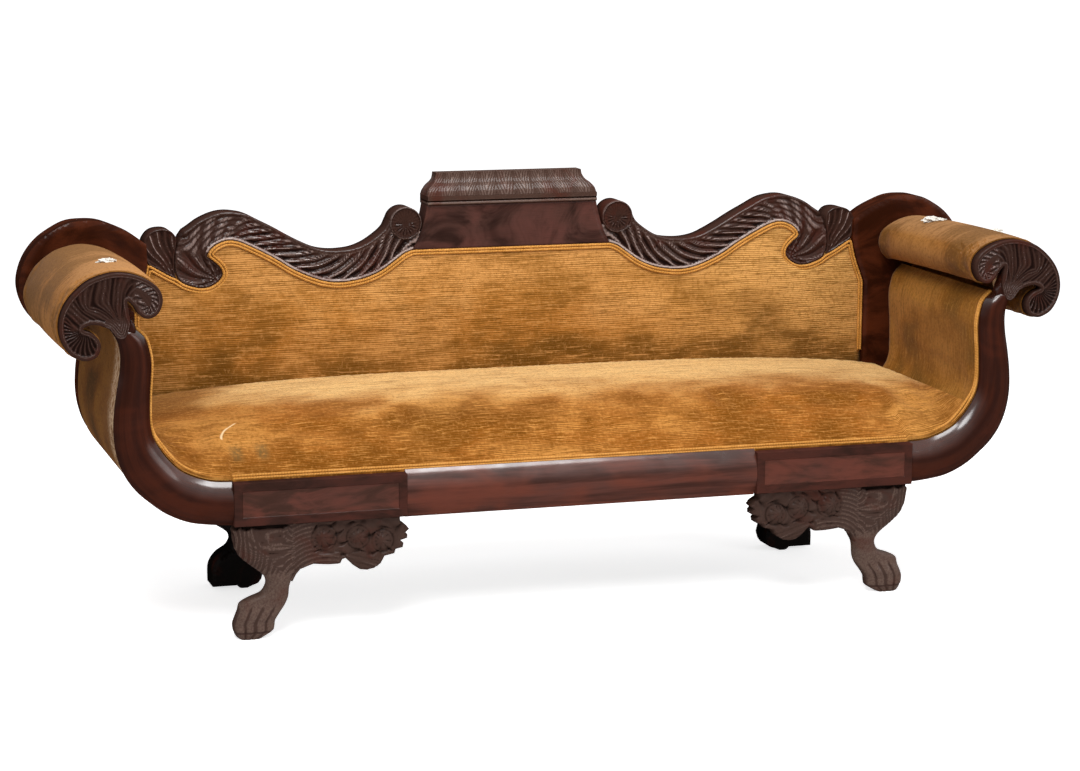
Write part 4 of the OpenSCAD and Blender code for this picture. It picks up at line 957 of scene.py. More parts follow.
@dataclass(frozen=True)
class Velvet(Finish):
    """Ribbed cotton velvet, rubbed and faded.

    Attributes:
        body: Colour of its pile.
        light: Colour where the pile lies flat or has faded.
        dark: Colour where it is dirty or stands against the light, and of its painted shade.
        furrow: Colour between the ribs.
        cover: What it covers.
        soil: How much of it is dirty.
        streak: Strength of its ribs and streaks.
        pitch: Distance from rib to rib, in metres.
        depth: Height of a rib, in metres.
    """

    body: str
    light: str
    dark: str
    furrow: str
    cover: Cover
    soil: float = 0.45
    streak: float = 1.0
    pitch: float = 0.0046
    depth: float = 0.0007

    def key(self) -> str:
        """The name of this piece of velvet."""
        return f"velvet_{self.cover.value}_{self.body}"

    def sockets(self, graph: Graph) -> Sockets:
        """Ribs and streaks along the lay, patches of wear by place, and painted light and shade: lighter
        upward faces on the rolls and the left arm's shadow on the seat.
        """
        lay, place = graph.lay(), graph.place()
        x, y, z = place.parts()
        rib = (lay.parts()[1] / self.pitch + graph.noise(lay.scaled(9, 40, 1), 1, 2) * 1.1).wave()
        streak = graph.noise(lay.scaled(20, 300, 1), 1, 4, 0.7)
        broad = graph.noise(lay.scaled(7, 75, 1), 1, 4, 0.65)
        pile = graph.noise(lay.scaled(150, 110, 1), 1, 3, 0.65)
        fuzz = graph.noise(place.scaled(600, 600, 600), 1, 2, 0.6)
        patch = graph.noise(place.scaled(2.3, 3.4, 4.2), 1, 2, 0.5, 0.4)
        blot = graph.noise(place.scaled(7, 9, 11), 1, 3, 0.5, 0.3)
        drift = blot - 0.5
        faded = (patch * 0.65 + blot * 0.35).ramp(0.44, 0.6, (0, 0.75))
        colour = graph.mix(faded, tint(self.body), tint(self.light))
        # Darkening: dirt in patches. The back adds a darker foot and left end, and the seat adds the painted
        # shadow of the left arm.
        soil_and_shade = patch * 0.55 + blot * 0.37 + broad * 0.08
        soil_and_shade = soil_and_shade.ramp(0.51 - 0.06 * self.soil, 0.4 - 0.04 * self.soil, (0, 0.85))
        stains, roll_tints_and_painted_top_light, rubbed = [], [], []
        if self.cover is Cover.BACK:
            # The back is darker towards its foot and at its left end.
            low = (z + drift * 0.25).ramp(0.57, 0.45)
            side = x.size().ramp(0.6, 0.86, (0, 0.55)) * x.ramp(0.0, -0.2)
            soil_and_shade = soil_and_shade.most(low.most(side))
            worn = (z + drift * 0.25).ramp(0.58, 0.7, (0, 0.6)) * x.ramp(-0.85, -0.6)
            colour = graph.washed(colour, (worn, self.light), (x.ramp(0.1, 0.85, (0, 0.8)), "dca862"))
            stains = [((z + drift * 0.35 + (patch - 0.5) * 0.3).ramp(0.52, 0.42, (0, 0.75)), "4f350f")]
        if self.cover is Cover.SEAT:
            front = (y + drift * 0.3).ramp(-0.05, -0.2)
            soil_and_shade = (soil_and_shade * (front * 0.7 + 0.3)).most(front * blot.ramp(0.62, 0.36, (0.1, 0.9)))
            rear = (y + x.ramp(-0.45, -0.72, (0, -0.1)) + drift * 0.22).ramp(-0.15, 0.08, (0, 0.85))
            # Painted shadow of the left arm over the rear of the seat's left end.
            corner = (x - y * 0.25 + drift * 0.2).ramp(-0.68, -0.78, (0, 0.75))
            soil_and_shade = (soil_and_shade * (1 - rear)).most(corner * y.ramp(-0.1, 0.02))
            colour = graph.washed(colour, (rear * (1 - corner), "e9c283"))
            bow = (y + 0.176) ** 2 * 12.5 - 0.75
            scratch = (x - bow).size().ramp(0.0035, 0.001, (0, 0.6)) * (y + 0.147).size().ramp(0.03, 0.026)
            spots = ((x + 0.7).size() - 0.027).size().ramp(0.02, 0.004)
            smudge = (y + 0.211).size().ramp(0.03, 0.008) * spots * pile.ramp(0.3, 0.6, (0.1, 0.6))
            rubbed = [(smudge, "5f5030"), (scratch * streak.ramp(0.3, 0.5, (0.3, 1)), "e6d2aa")]
        if self.cover is Cover.ROLL:
            roll_tints_and_painted_top_light = [
                (x.ramp(0.3, -0.3, (0, 0.65)), "ad743a"),
                # Painted light from above, with wear on top: the roll is lighter where it faces up.
                (graph.facing()[2].ramp(0.6, 0.98, (0, 0.5)), "a07a55"),
                ((patch * 0.4 + blot * 0.3 + broad * 0.3).ramp(0.52, 0.44, (0, 0.55)), self.dark),
            ]
        if self.cover is Cover.OUTER:
            speck = graph.noise(place, 90, 4, 0.75)
            edge = y + 0.3 + (drift * 0.12 + (speck - 0.5) * 0.16 + z.ramp(0.5, 0.66, (0, 0.02)))
            rubbed = [(edge.ramp(0.125, 0.1) * speck.ramp(0.45, 0.55, (0.15, 0.95)), "b89a7a")]
        colour = graph.washed(
            colour,
            (soil_and_shade * (0.6 if self.cover is Cover.BACK else 0.9), self.dark),
            *stains,
            ((1 - rib).ramp(0.5, 1.0) * (broad.ramp(0.3, 0.65, (0.35, 0.9)) * self.streak), self.furrow),
            (streak.ramp(0.5, 0.68, (0, 0.7 * self.streak)), self.furrow),
            (streak.ramp(0.48, 0.32, (0, 0.7 * self.streak)), self.light),
            (broad.ramp(0.54, 0.7, (0, 0.4 * self.streak)), self.dark),
            *roll_tints_and_painted_top_light,
            (pile.ramp(0.5, 0.66, (0, 0.42)), self.dark),
            (pile.ramp(0.48, 0.32, (0, 0.25)), self.light),
            (fuzz.ramp(0.52, 0.8, (0, 0.4)), self.dark),
            *rubbed,
        )
        return {
            "Base Color": colour,
            "Roughness": 0.85,
            "Specular IOR Level": 0.0,
            "Sheen Weight": 0.04,
            "Sheen Roughness": 0.5,
            "Normal": graph.bumped(rib * 0.45 + streak * 0.3 + pile * 0.15 + fuzz * 0.1, self.depth, 0.9),
        }


@dataclass(frozen=True)
class Gimp(Finish):
    """Two-cord braid with a twist.

    Attributes:
        body: Colour of its strands.
        shade: Colour between them.
        twist: Length of one turn, in metres.
    """

    body: str = "b57c33"
    shade: str = "6e4414"
    twist: float = 0.006

    def key(self) -> str:
        """The name of this braid's colour."""
        return f"gimp_{self.body}"

    def sockets(self, graph: Graph) -> Sockets:
        """Slanting strands round the cord."""
        along, around, _ = graph.lay().parts()
        strand = (along / self.twist + around).wave()
        fuzz = graph.noise(graph.place(), 900, 2, 0.6)
        colour = graph.washed(
            graph.mix(strand.ramp(0.0, 0.5, (0.62, 1)), tint(self.shade), tint(self.body)),
            (graph.noise(graph.place(), 30, 3, 0.6).ramp(0.42, 0.7, (0, 0.6)), "c98f48"),
            (fuzz.ramp(0.5, 0.8, (0, 0.35)), self.shade),
        )
        return {
            "Base Color": colour,
            "Roughness": 0.75,
            "Specular IOR Level": 0.25,
            "Normal": graph.bumped(strand * 0.8 + fuzz * 0.2, 0.0007, 0.8),
        }


@dataclass(frozen=True)
class Timber(Finish):
    """Sawn secondary wood of the hidden frame.

    Attributes:
        body: Colour of the wood.
        line: Colour of its growth rings.
    """

    body: str = "b08a5a"
    line: str = "7d5b34"

    def sockets(self, graph: Graph) -> Sockets:
        """Growth rings along the longer direction, with saw marks."""
        place = graph.place()
        rings = graph.noise(place.scaled(6, 60, 60), 1, 4, 0.6, 0.6)
        saw = (place.parts()[0] * 900).sine() * 0.5 + 0.5
        colour = graph.washed(
            graph.mix(rings.ramp(0.4, 0.62), tint(self.body), tint(self.line)),
            (graph.noise(place, 9, 3, 0.6).ramp(0.5, 0.75, (0, 0.5)), "5f4427"),
        )
        return {
            "Base Color": colour,
            "Roughness": rings.ramp(0.3, 0.7, (0.6, 0.75)),
            "Normal": graph.bumped(saw * 0.4 + rings * 0.6, 0.0004, 0.5),
        }


@dataclass(frozen=True)
class Cloth(Finish):
    """Plain woven cloth: canvas, webbing, the black dust cloth or cotton.

    Attributes:
        body: Colour of the yarn.
        shade: Colour between the yarns.
        yarn: Distance from yarn to yarn, in metres.
        stripe: Distance between coloured stripes, or 0 for none.
    """

    body: str = "b9a17a"
    shade: str = "7c6747"
    yarn: float = 0.0016
    stripe: float = 0

    def key(self) -> str:
        """The name of this cloth."""
        return f"cloth_{self.slot}_{self.body}"

    def sockets(self, graph: Graph) -> Sockets:
        """Over and under weave, with stains."""
        x, y, z = graph.place().parts()
        warp, weft = ((at * (math.tau / self.yarn)).sine() for at in (x, y + z))
        weave = warp * weft * 0.5 + 0.5
        stain = graph.noise(graph.place(), 7, 4, 0.6, 0.3)
        colour = graph.mix(weave.ramp(0.1, 0.7), tint(self.shade), tint(self.body))
        colour = graph.washed(colour, (stain.ramp(0.48, 0.75, (0, 0.5)), self.shade))
        if self.stripe:
            band = ((x + y) * (math.tau / self.stripe)).sine()
            colour = graph.washed(colour, (band.ramp(0.8, 0.95, (0, 0.7)), "5e2a1d"))
        return {
            "Base Color": colour,
            "Roughness": stain.ramp(0.3, 0.7, (0.82, 0.92)),
            "Specular IOR Level": 0.2,
            "Normal": graph.bumped(weave, 0.0004, 0.6),
        }


@dataclass(frozen=True)
class Steel(Finish):
    """Old steel of the springs, screws and tacks.

    Attributes:
        body: Colour of the steel.
        rust: Colour of its rust.
        metal: How metallic it is where it is clean.
    """

    body: str = "5b5753"
    rust: str = "5a3320"
    metal: float = 0.85

    def key(self) -> str:
        """The name of this steel."""
        return f"steel_{self.body}"

    def sockets(self, graph: Graph) -> Sockets:
        """Dull metal with rust in patches."""
        patch = graph.noise(graph.place(), 60, 4, 0.6)
        rusty = patch.ramp(0.5, 0.66)
        return {
            "Base Color": graph.mix(rusty, tint(self.body), tint(self.rust)),
            "Metallic": self.metal - rusty * 0.6,
            "Roughness": rusty * 0.4 + 0.4,
            "Normal": graph.bumped(patch, 0.0003, 0.4),
        }


@dataclass(frozen=True)
class Finishes:
    """Every finish of the sofa."""

    moulding: Veneer = Veneer("crotch", "36201a", "50322b", "5f3226", Figure.STRAIGHT, 0.45, 0.9)
    block: Veneer = Veneer("crotch", "38241d", "4a2e27", "5c3228", Figure.MOTTLED, 0.5, 0.12, True)
    facing: Veneer = Veneer("crotch", "28120c", "34180f", "3f1c11", Figure.STRAIGHT, 0.3, 1.0)
    post: Veneer = Veneer("crotch", "281007", "3d1b0e", "4a2211", Figure.UPRIGHT, 0.4, 0.15)
    tablet: Veneer = Veneer("crotch", "251612", "452e28", "50302a", Figure.UPRIGHT, 0.4, 0.5)
    carved: Carved = Carved("carved", "170c09", "34221c", "93807a")
    leg: Carved = Carved("carved", "120b08", "3d2d27", "6c584e", 0.25)
    cap: Carved = Carved("carved", "20140f", "3f2e27", "64524a", 0.35)
    # Near-black rear feet: a dark wood, darkened further as painted shade for the shadow that they stand in.
    dark: Carved = Carved("dark_foot", "050403", "100c0a", "1f1815", 0.15)
    timber: Timber = Timber("frame_wood")
    seat: Velvet = Velvet("velvet", "95581f", "c68d48", "693f11", "54300b", Cover.SEAT)
    back: Velvet = Velvet("velvet", "a66d30", "c69053", "744c1b", "5a380e", Cover.BACK, 0.3)
    roll: Velvet = Velvet("velvet", "77491b", "966733", "543510", "5c3a14", Cover.ROLL, 0.3, 0.5)
    inner: Velvet = Velvet("velvet", "85551b", "a37134", "5f4014", "4f340e", Cover.INNER, 0.4, 0.8)
    outer: Velvet = Velvet("velvet", "6c4014", "875822", "41290b", "3d2709", Cover.OUTER, 0.5, 0.4)
    gimp: Gimp = Gimp("gimp")
    worn: Gimp = Gimp("gimp", "9a7d6a", "4c3526", 0.0035)
    canvas: Cloth = Cloth("canvas")
    webbing: Cloth = Cloth("webbing", "9c7f52", "6a5230", 0.0022, 0.05)
    dust: Cloth = Cloth("dust", "1c1a19", "0b0a0a", 0.0014)
    lining: Cloth = Cloth("velvet", "7d6a48", "54452c", 0.0018)
    cotton: Cloth = Cloth("stuffing", "e6e2da", "b9b2a6", 0.0009)
    steel: Steel = Steel("spring_steel")
    tack: Steel = Steel("spring_steel", "2b2725", "3b2418", 0.7)


FINISH = Finishes()


def show(
    form: Form | bpy.types.Mesh, name: str, finish: Finish, nodes: Sequence[str] = (), angle: float = 38
) -> bpy.types.Object:
    """Dresses a form and seats it on the frame.

    Args:
        form: The form, or a finished mesh.
        name: Name of the piece.
        finish: Its finish.
        nodes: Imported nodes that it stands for.
        angle: Angle in degrees past which an edge stays sharp.

    Returns:
        The piece.
    """
    mesh = form.mesh(name) if isinstance(form, Form) else form
    mesh.polygons.foreach_set("use_smooth", np.ones(len(mesh.polygons), bool))
    mesh.set_sharp_from_angle(angle=math.radians(angle))
    coated(mesh, finish)
    piece = linked(name, mesh)
    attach(piece, "root")
    if nodes:
        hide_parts(*nodes)
    LOG.info("%s: %d points", name, len(mesh.vertices))
    return piece


def coated(mesh: bpy.types.Mesh, finish: Finish) -> None:
    """Gives a mesh one finish and no other."""
    mesh.materials.clear()
    mesh.materials.append(finish.material())


class NodeShape(Graph):
    """A Geometry Nodes tree with named inputs, turned into a plain mesh."""

    def __init__(self, name: str, finish: Finish, inputs: dict[str, tuple[str, float | int]]) -> None:
        """Starts the tree.

        Args:
            name: Name of the tree.
            finish: Finish that it sets.
            inputs: Socket type and value of each named input.
        """
        super().__init__(bpy.data.node_groups.new(name, "GeometryNodeTree"))
        self.finish = finish
        self.values = {}
        self.tree.interface.new_socket("Geometry", in_out="INPUT", socket_type="NodeSocketGeometry")
        self.tree.interface.new_socket("Geometry", in_out="OUTPUT", socket_type="NodeSocketGeometry")
        for label, (kind, value) in inputs.items():
            socket = self.tree.interface.new_socket(label, in_out="INPUT", socket_type=kind)
            self.values[socket.identifier] = value
        self.entry = self.tree.nodes.new("NodeGroupInput")

    def given(self, label: str) -> Wire:
        """A named input of the tree."""
        return Wire(self, self.entry.outputs[label])

    def stored(self, shape: Wire, label: str, value: Wire) -> Wire:
        """The geometry with a number, or the lay, stored for each of its points."""
        settings = {"data_type": "FLOAT_VECTOR" if label == "lay" else "FLOAT", "domain": "POINT"}
        inputs = {"Geometry": shape, "Name": label, "Value": value}
        return self.node("GeometryNodeStoreNamedAttribute", settings, inputs)

    def vector(self, *parts: "Wire | float") -> Wire:
        """A vector of these parts."""
        return self.node("ShaderNodeCombineXYZ", {}, dict(enumerate(parts)))

    def read(self, label: str) -> Wire:
        """A number that is stored for each point."""
        return self.node("GeometryNodeInputNamedAttribute", {"data_type": "FLOAT"}, {"Name": label})

    def swept(self, line: Wire, section: Wire) -> Wire:
        """A section swept along a line, with its ends closed."""
        inputs = {"Curve": line, "Profile Curve": section, "Fill Caps": True}
        return self.node("GeometryNodeCurveToMesh", {}, inputs)

    def set_out(self, points: Wire, shape: Wire, scale: "Wire | tuple" = (1, 1, 1)) -> Wire:
        """A shape set out on points, as real geometry."""
        inputs = {"Points": points, "Instance": shape, "Scale": scale}
        return self.realized(self.node("GeometryNodeInstanceOnPoints", {}, inputs))

    def realized(self, shape: Wire) -> Wire:
        """Instances as real geometry."""
        return self.node("GeometryNodeRealizeInstances", {}, {0: shape})

    def built(
        self,
        shape: Wire,
        points: np.ndarray,
        edges: Sequence[tuple[int, int]] = (),
        values: dict[str, np.ndarray] | None = None,
    ) -> bpy.types.Mesh:
        """Ends the tree, runs it and gives a plain mesh.

        Args:
            shape: Geometry that the tree gives.
            points: Points that the tree starts from, in metres.
            edges: Edges between them.
            values: Attributes of those points.

        Returns:
            The mesh.
        """
        inputs = {0: self.realized(shape), "Material": self.finish.material()}
        done = self.node("GeometryNodeSetMaterial", {}, inputs)
        self.tree.links.new(done.socket, self.tree.nodes.new("NodeGroupOutput").inputs[0])
        mesh = bpy.data.meshes.new(self.tree.name)
        mesh.from_pydata(points.tolist(), list(edges), [])
        for label, column in (values or {}).items():
            marked(mesh, label, column)
        holder = linked(self.tree.name, mesh)
        modifier = holder.modifiers.new("shape", "NODES")
        modifier.node_group = self.tree
        for identifier, value in self.values.items():
            modifier[identifier] = value
        bpy.context.view_layer.update()
        graph = bpy.context.evaluated_depsgraph_get()
        evaluated = holder.evaluated_get(graph)
        result = bpy.data.meshes.new_from_object(evaluated, preserve_all_data_layers=True, depsgraph=graph)
        holder.modifiers.remove(modifier)
        bpy.data.objects.remove(holder)
        return result


def chained(paths: Sequence[np.ndarray]) -> list[tuple[int, int]]:
    """Edges along open paths whose points follow one another."""
    edges, n = [], 0
    for path in paths:
        edges += [(n + i, n + i + 1) for i in range(len(path) - 1)]
        n += len(path)
    return edges


def cords(name: str, paths: Sequence[np.ndarray], radius: float, finish: Finish) -> bpy.types.Mesh:
    """Cords swept along paths by a node tree.

    Args:
        name: Name of the tree.
        paths: The middle lines, in millimetres.
        radius: Radius of a cord, in millimetres.
        finish: Its finish.

    Returns:
        The mesh of all the cords.
    """
    shape = NodeShape(name, finish, {
        "Radius": ("NodeSocketFloat", radius * MM),
        "Step": ("NodeSocketFloat", 1.2 * radius * MM),
        "Sides": ("NodeSocketInt", CORD_SIDES),
    })
    line = shape.node("GeometryNodeMeshToCurve", {}, {0: shape.given("Geometry")})
    inputs = {"Curve": line, "Length": shape.given("Step")}
    line = shape.node("GeometryNodeResampleCurve", {"mode": "LENGTH"}, inputs)
    inputs = {"Resolution": shape.given("Sides"), "Radius": shape.given("Radius")}
    section = shape.node("GeometryNodeCurvePrimitiveCircle", {}, inputs)
    line, section = (
        shape.stored(curve, label, shape.node("GeometryNodeSplineParameter", out=out))
        for curve, label, out in ((line, "cord_along", "Length"), (section, "cord_around", "Factor"))
    )
    lay = shape.vector(shape.read("cord_along"), shape.read("cord_around"))
    tube = shape.stored(shape.swept(line, section), "lay", lay)
    for label in ("cord_along", "cord_around"):
        tube = shape.node("GeometryNodeRemoveAttribute", {}, {0: tube, "Name": label})
    tube = shape.node("GeometryNodeSetShadeSmooth", {}, {0: tube})
    return shape.built(tube, metres(np.vstack(paths)), chained(paths))


def reeds(phase: np.ndarray) -> np.ndarray:
    """Height of rounded reeds: 0 in the groove at each whole number, 1 on the reed between."""
    u = 1 - 2 * np.abs(phase - np.round(phase))
    return np.sqrt(np.clip(1 - u**2, 0, 1))


def flutes(phase: np.ndarray) -> np.ndarray:
    """Height of gouged channels: 1 on the sharp ridge at each whole number, 0 in the channel between."""
    return 1 - reeds(phase)


def foliage(phase: np.ndarray, reach: np.ndarray, veins: float = 3.5) -> np.ndarray:
    """Height of leaves side by side, with the spine of one at each whole number and veins to its tip."""
    off = np.abs(phase - np.round(phase))
    hump = 1 - (2 * off) ** 3
    return np.clip(hump * (0.35 + 0.5 * reeds(2 * veins * off + reach)) + 0.35 * bump(off / 0.06), 0, 1)


def polar(points: np.ndarray, centre: np.ndarray) -> tuple[np.ndarray, np.ndarray]:
    """Distance and angle of each point about a centre."""
    x, z = (points - centre).T
    return np.hypot(x, z), np.arctan2(z, x)


@dataclass
class Assembly:
    """A sub-assembly of the sofa.

    Attributes:
        plan: Sizes of the construction.
    """

    plan: Plan

    def build(self) -> None:
        """Makes and dresses the pieces."""
        raise NotImplementedError


@dataclass
class FrontRail(Assembly):
    """Rounded middle moulding of the front rail, and its flat blocks.

    Attributes:
        moulding_h: Height of the moulding.
        arc: Radius of its face.
        border: Width of the border of a block.
        sink: Depth of a block's field.
        edge: Radius of a block's edges.
    """

    moulding_h: float = 100
    arc: float = 70
    border: float = 18
    sink: float = 1.5
    edge: float = 1.2

    def moulding(self) -> bpy.types.Mesh:
        """The moulding, swept along the rail by a node tree."""
        plan = self.plan
        half = self.moulding_h / 2
        angles = np.linspace(1, -1, 41) * math.asin(half / self.arc)
        face = np.stack([self.arc * (1 - np.cos(angles)), self.arc * np.sin(angles)], axis=1)
        section = np.vstack([face, [(plan.facing_t, -half), (plan.facing_t, half)]])
        shape = NodeShape("front_moulding", FINISH.moulding, {
            "Length": ("NodeSocketFloat", 2 * (plan.block_reach - plan.block_l) * MM),
            "Steps": ("NodeSocketInt", 97),
            "Front": ("NodeSocketFloat", -plan.depth / 2 * MM),
            "Height": ("NodeSocketFloat", (plan.rail_z + plan.block_h / 2) * MM),
        })
        start, end = (
            shape.vector(shape.given("Length") * s, shape.given("Front"), shape.given("Height"))
            for s in (-0.5, 0.5)
        )
        line = shape.node("GeometryNodeCurvePrimitiveLine", {}, {"Start": start, "End": end})
        inputs = {"Curve": line, "Count": shape.given("Steps")}
        line = shape.node("GeometryNodeResampleCurve", {"mode": "COUNT"}, inputs)
        line = shape.node("GeometryNodeSetCurveNormal", {"mode": "Z_UP"}, {0: line})
        outline = shape.node("GeometryNodeMeshToCurve", {}, {0: shape.given("Geometry")})
        x, y, z = shape.node("GeometryNodeInputPosition").parts()
        bar = shape.stored(shape.swept(line, outline), "lay", shape.vector(x, z, y))
        loop = [(i, (i + 1) % len(section)) for i in range(len(section))]
        return shape.built(bar, np.pad(-section * MM, ((0, 0), (0, 1))), loop)

    def block(self) -> Form:
        """A block with a border and a sunk field."""
        plan = self.plan
        marks = np.array([0, 0.5, self.edge, 3, 9, *(self.border + step for step in (-0.6, 0, 0.6, 4))])

        def cuts(a: float, b: float, step: float) -> np.ndarray:
            """Places of the grid's lines between two edges."""
            middle = np.linspace(a + marks[-1], b - marks[-1], max(3, round((b - a) / step)))
            return np.concatenate([a + marks[:-1], middle, b - marks[-2::-1]])

        x0, x1 = plan.block_reach - plan.block_l, plan.block_reach
        x, z = np.meshgrid(cuts(x0, x1, 12), cuts(plan.rail_z, plan.rail_top, 10))
        gap = np.minimum.reduce([x - x0, x1 - x, z - plan.rail_z, plan.rail_top - z])
        y = rounded(gap, self.edge) + self.sink * ease((gap - self.border + 0.6) / 1.2)
        front = np.stack([x, y, z], axis=-1)
        form = slab(front, front * (1, 0, 1) + (0, plan.facing_t, 0), front[..., [0, 2, 1]] * MM)
        form.relief = np.tile(ease((gap - self.border) / 0.6).ravel(), 2)
        return form

    def build(self) -> None:
        """Makes and dresses the moulding and the blocks."""
        show(self.moulding(), "front_moulding", FINISH.moulding, ["front_rail_moulding"])
        for side in Side:
            show(self.block().on(side), f"front_block_{side}", FINISH.block, [f"rail_block_{side}"])


@dataclass
class Arm(Assembly):
    """Facing, carved scroll and rear post of one arm.

    Attributes:
        side: The end that it stands at.
        arc: Half the angle of the arc across the facing.
        lip: Width of the plain rim of the scroll.
        depth: Depth of the scroll's flutes.
        upper_end: Radius of the rounding at the facing's upper end.
        post_stand: Stand of the post outside the facing.
        head_w: Width of the post's round head.
        head_h: Height of that head.
    """

    side: Side = Side.RIGHT
    arc: float = 51
    lip: float = 8
    depth: float = 3.4
    upper_end: float = 4
    post_stand: float = 5.8
    head_w: float = 277
    head_h: float = 246

    def facing(self) -> Form:
        """The swept facing, rounded across."""
        plan = self.plan
        outer, inner = plan.outer(8), plan.inner(8)
        last = len(outer) - 1
        t = np.concatenate([[0, 0.12], np.arange(1, last), [last - 0.12, last]])
        outer, inner = (
            np.stack([np.interp(t, np.arange(last + 1), column) for column in path.T], axis=1)
            for path in (outer, inner)
        )
        angles = np.radians(self.arc) * np.linspace(-1, 1, 25)
        low = math.cos(angles[-1])
        crown = (np.cos(angles) - low) / (1 - low)
        share = ((1 + np.sin(angles) / np.sin(angles[-1])) / 2)[None, :, None]
        flat = blend(outer[:, None], inner[:, None], share)
        y = np.broadcast_to((plan.facing_t - plan.facing_edge) * (1 - crown), flat.shape[:2]).copy()
        y[0] += 1
        left = run(outer)[-1] - run(outer)[:, None]
        front = stood(flat, np.minimum(y + rounded(left, self.upper_end), plan.facing_t - 1.5))
        lay = lay_of(run((outer + inner) / 2)[:, None], angles[None] * 60)
        return slab(front, front * (1, 0, 1) + (0, plan.facing_t, 0), lay)

    def carve_scroll(self, flat: np.ndarray, gap: np.ndarray) -> tuple[np.ndarray, np.ndarray]:
        """A palmette that rises from the tongue, and flutes that run into the curls."""
        plan = self.plan
        heart, eye, spiral, tongue_tip = plan.scroll([(0.415, 0.36), (0.775, 0.37), (0.7, 0.62), (0.4, 0.29)])
        u, v = ((flat - plan.scroll([(0, 0)])[0]) / (plan.scroll_w, plan.scroll_h)).T
        far, angle = polar(flat, heart)
        turn = np.degrees(angle) + 9 * np.sin(far / 30) + 14 * np.exp(-apart(flat, spiral) / 22)
        grooves = flutes(turn / 7.2 + 0.3 * np.sin(far / 11 + turn / 8))
        palm = 0.35 * foliage(turn / 24, far / 22, 2) + 0.65 * grooves
        depth, spin = polar(flat, eye)
        curl = flutes(np.degrees(spin) / 12 - depth / 45 + 0.25 * np.sin(depth / 8))
        _, along = nearest(flat, ring(smooth_closed(plan.scroll(SCROLL), 3)))
        lobes = foliage((along - gap) / 15, gap / 14, 2)
        lobes = lobes + (0.35 + 0.3 * reeds(gap / 6) - lobes) * ease((gap - 21) / 4)
        in_lobes = ease((0.3 - u) / 0.06) * ease((v - 0.4) / 0.05)
        in_curl = ease((0.38 - v) / 0.05) * (u > 0.56) + ease((u - 0.86) / 0.06) * ease((0.6 - v) / 0.2)
        in_tongue = ease((0.5 - v) / 0.1) * (u < 0.56) * (1 - in_lobes)
        height = blend(blend(palm, lobes, in_lobes), curl, np.clip(in_curl, 0, 1))
        height = blend(height, reeds(gap / 4.3) * 0.8, in_tongue)
        rim = self.lip - 5 * in_tongue
        zone = ease((gap - rim) / 2)
        sink = zone * (0.8 + self.depth * (1 - height))
        relief = blend(0.42 + 0.45 * bump((gap - rim + 1.2) / 1.8), 0.05 + 0.95 * height, zone)
        return np.maximum(sink, 0) - 2.5 * np.exp(-((apart(flat, tongue_tip) / 22) ** 4)), relief

    def scroll(self) -> Form:
        """The carved scroll."""
        outline = smooth_closed(self.plan.scroll(SCROLL))
        reach = apart(outline, self.plan.scroll([(0.4, 0.31)])[0])
        outline = outline - np.stack([0 * reach, 13 * np.exp(-((reach / 20) ** 4))], axis=1)
        return board(outline, 0, self.plan.facing_t, spacing=1.6, carve=self.carve_scroll, rim=2.6)

    def neck(self) -> Form:
        """The end of the facing that runs up beside the tongue of the scroll."""
        return board(self.plan.scroll(NECK), 3, self.plan.facing_t, spacing=3, rim=8)

    def post(self) -> Form:
        """The rear post with its round head."""
        plan = self.plan
        foot = shifted(plan.outer(), self.post_stand)[: 12 * STEPS + 1]
        corner = (
            plan.block_reach + plan.scroll_run + plan.scroll_w + 11 - self.head_w,
            plan.rail_z + plan.scroll_rise + plan.scroll_h + 41 - self.head_h,
        )
        head = smooth_open(placed(HEAD, corner, (self.head_w, self.head_h)))
        x = plan.block_reach - 5
        rest = [(plan.back_half, plan.rail_top - 4), (x, plan.rail_top - 4)]
        outline = np.vstack([[(x, plan.rail_z + 2)], foot, head, plan.panel_edge(), rest])
        return board(outline, plan.post_front, plan.frame_back, spacing=7, rim=3)

    def build(self) -> None:
        """Makes and dresses the facing, the scroll and the post."""
        side = self.side
        front = self.facing().joined(self.neck())
        show(front.on(side), f"arm_front_{side}", FINISH.facing, [f"arm_facing_{side}"])
        show(self.scroll().on(side), f"arm_scroll_{side}", FINISH.carved, [f"scroll_facing_{side}"], angle=60)
        show(self.post().on(side), f"back_post_{side}", FINISH.post, [f"rear_post_{side}"])


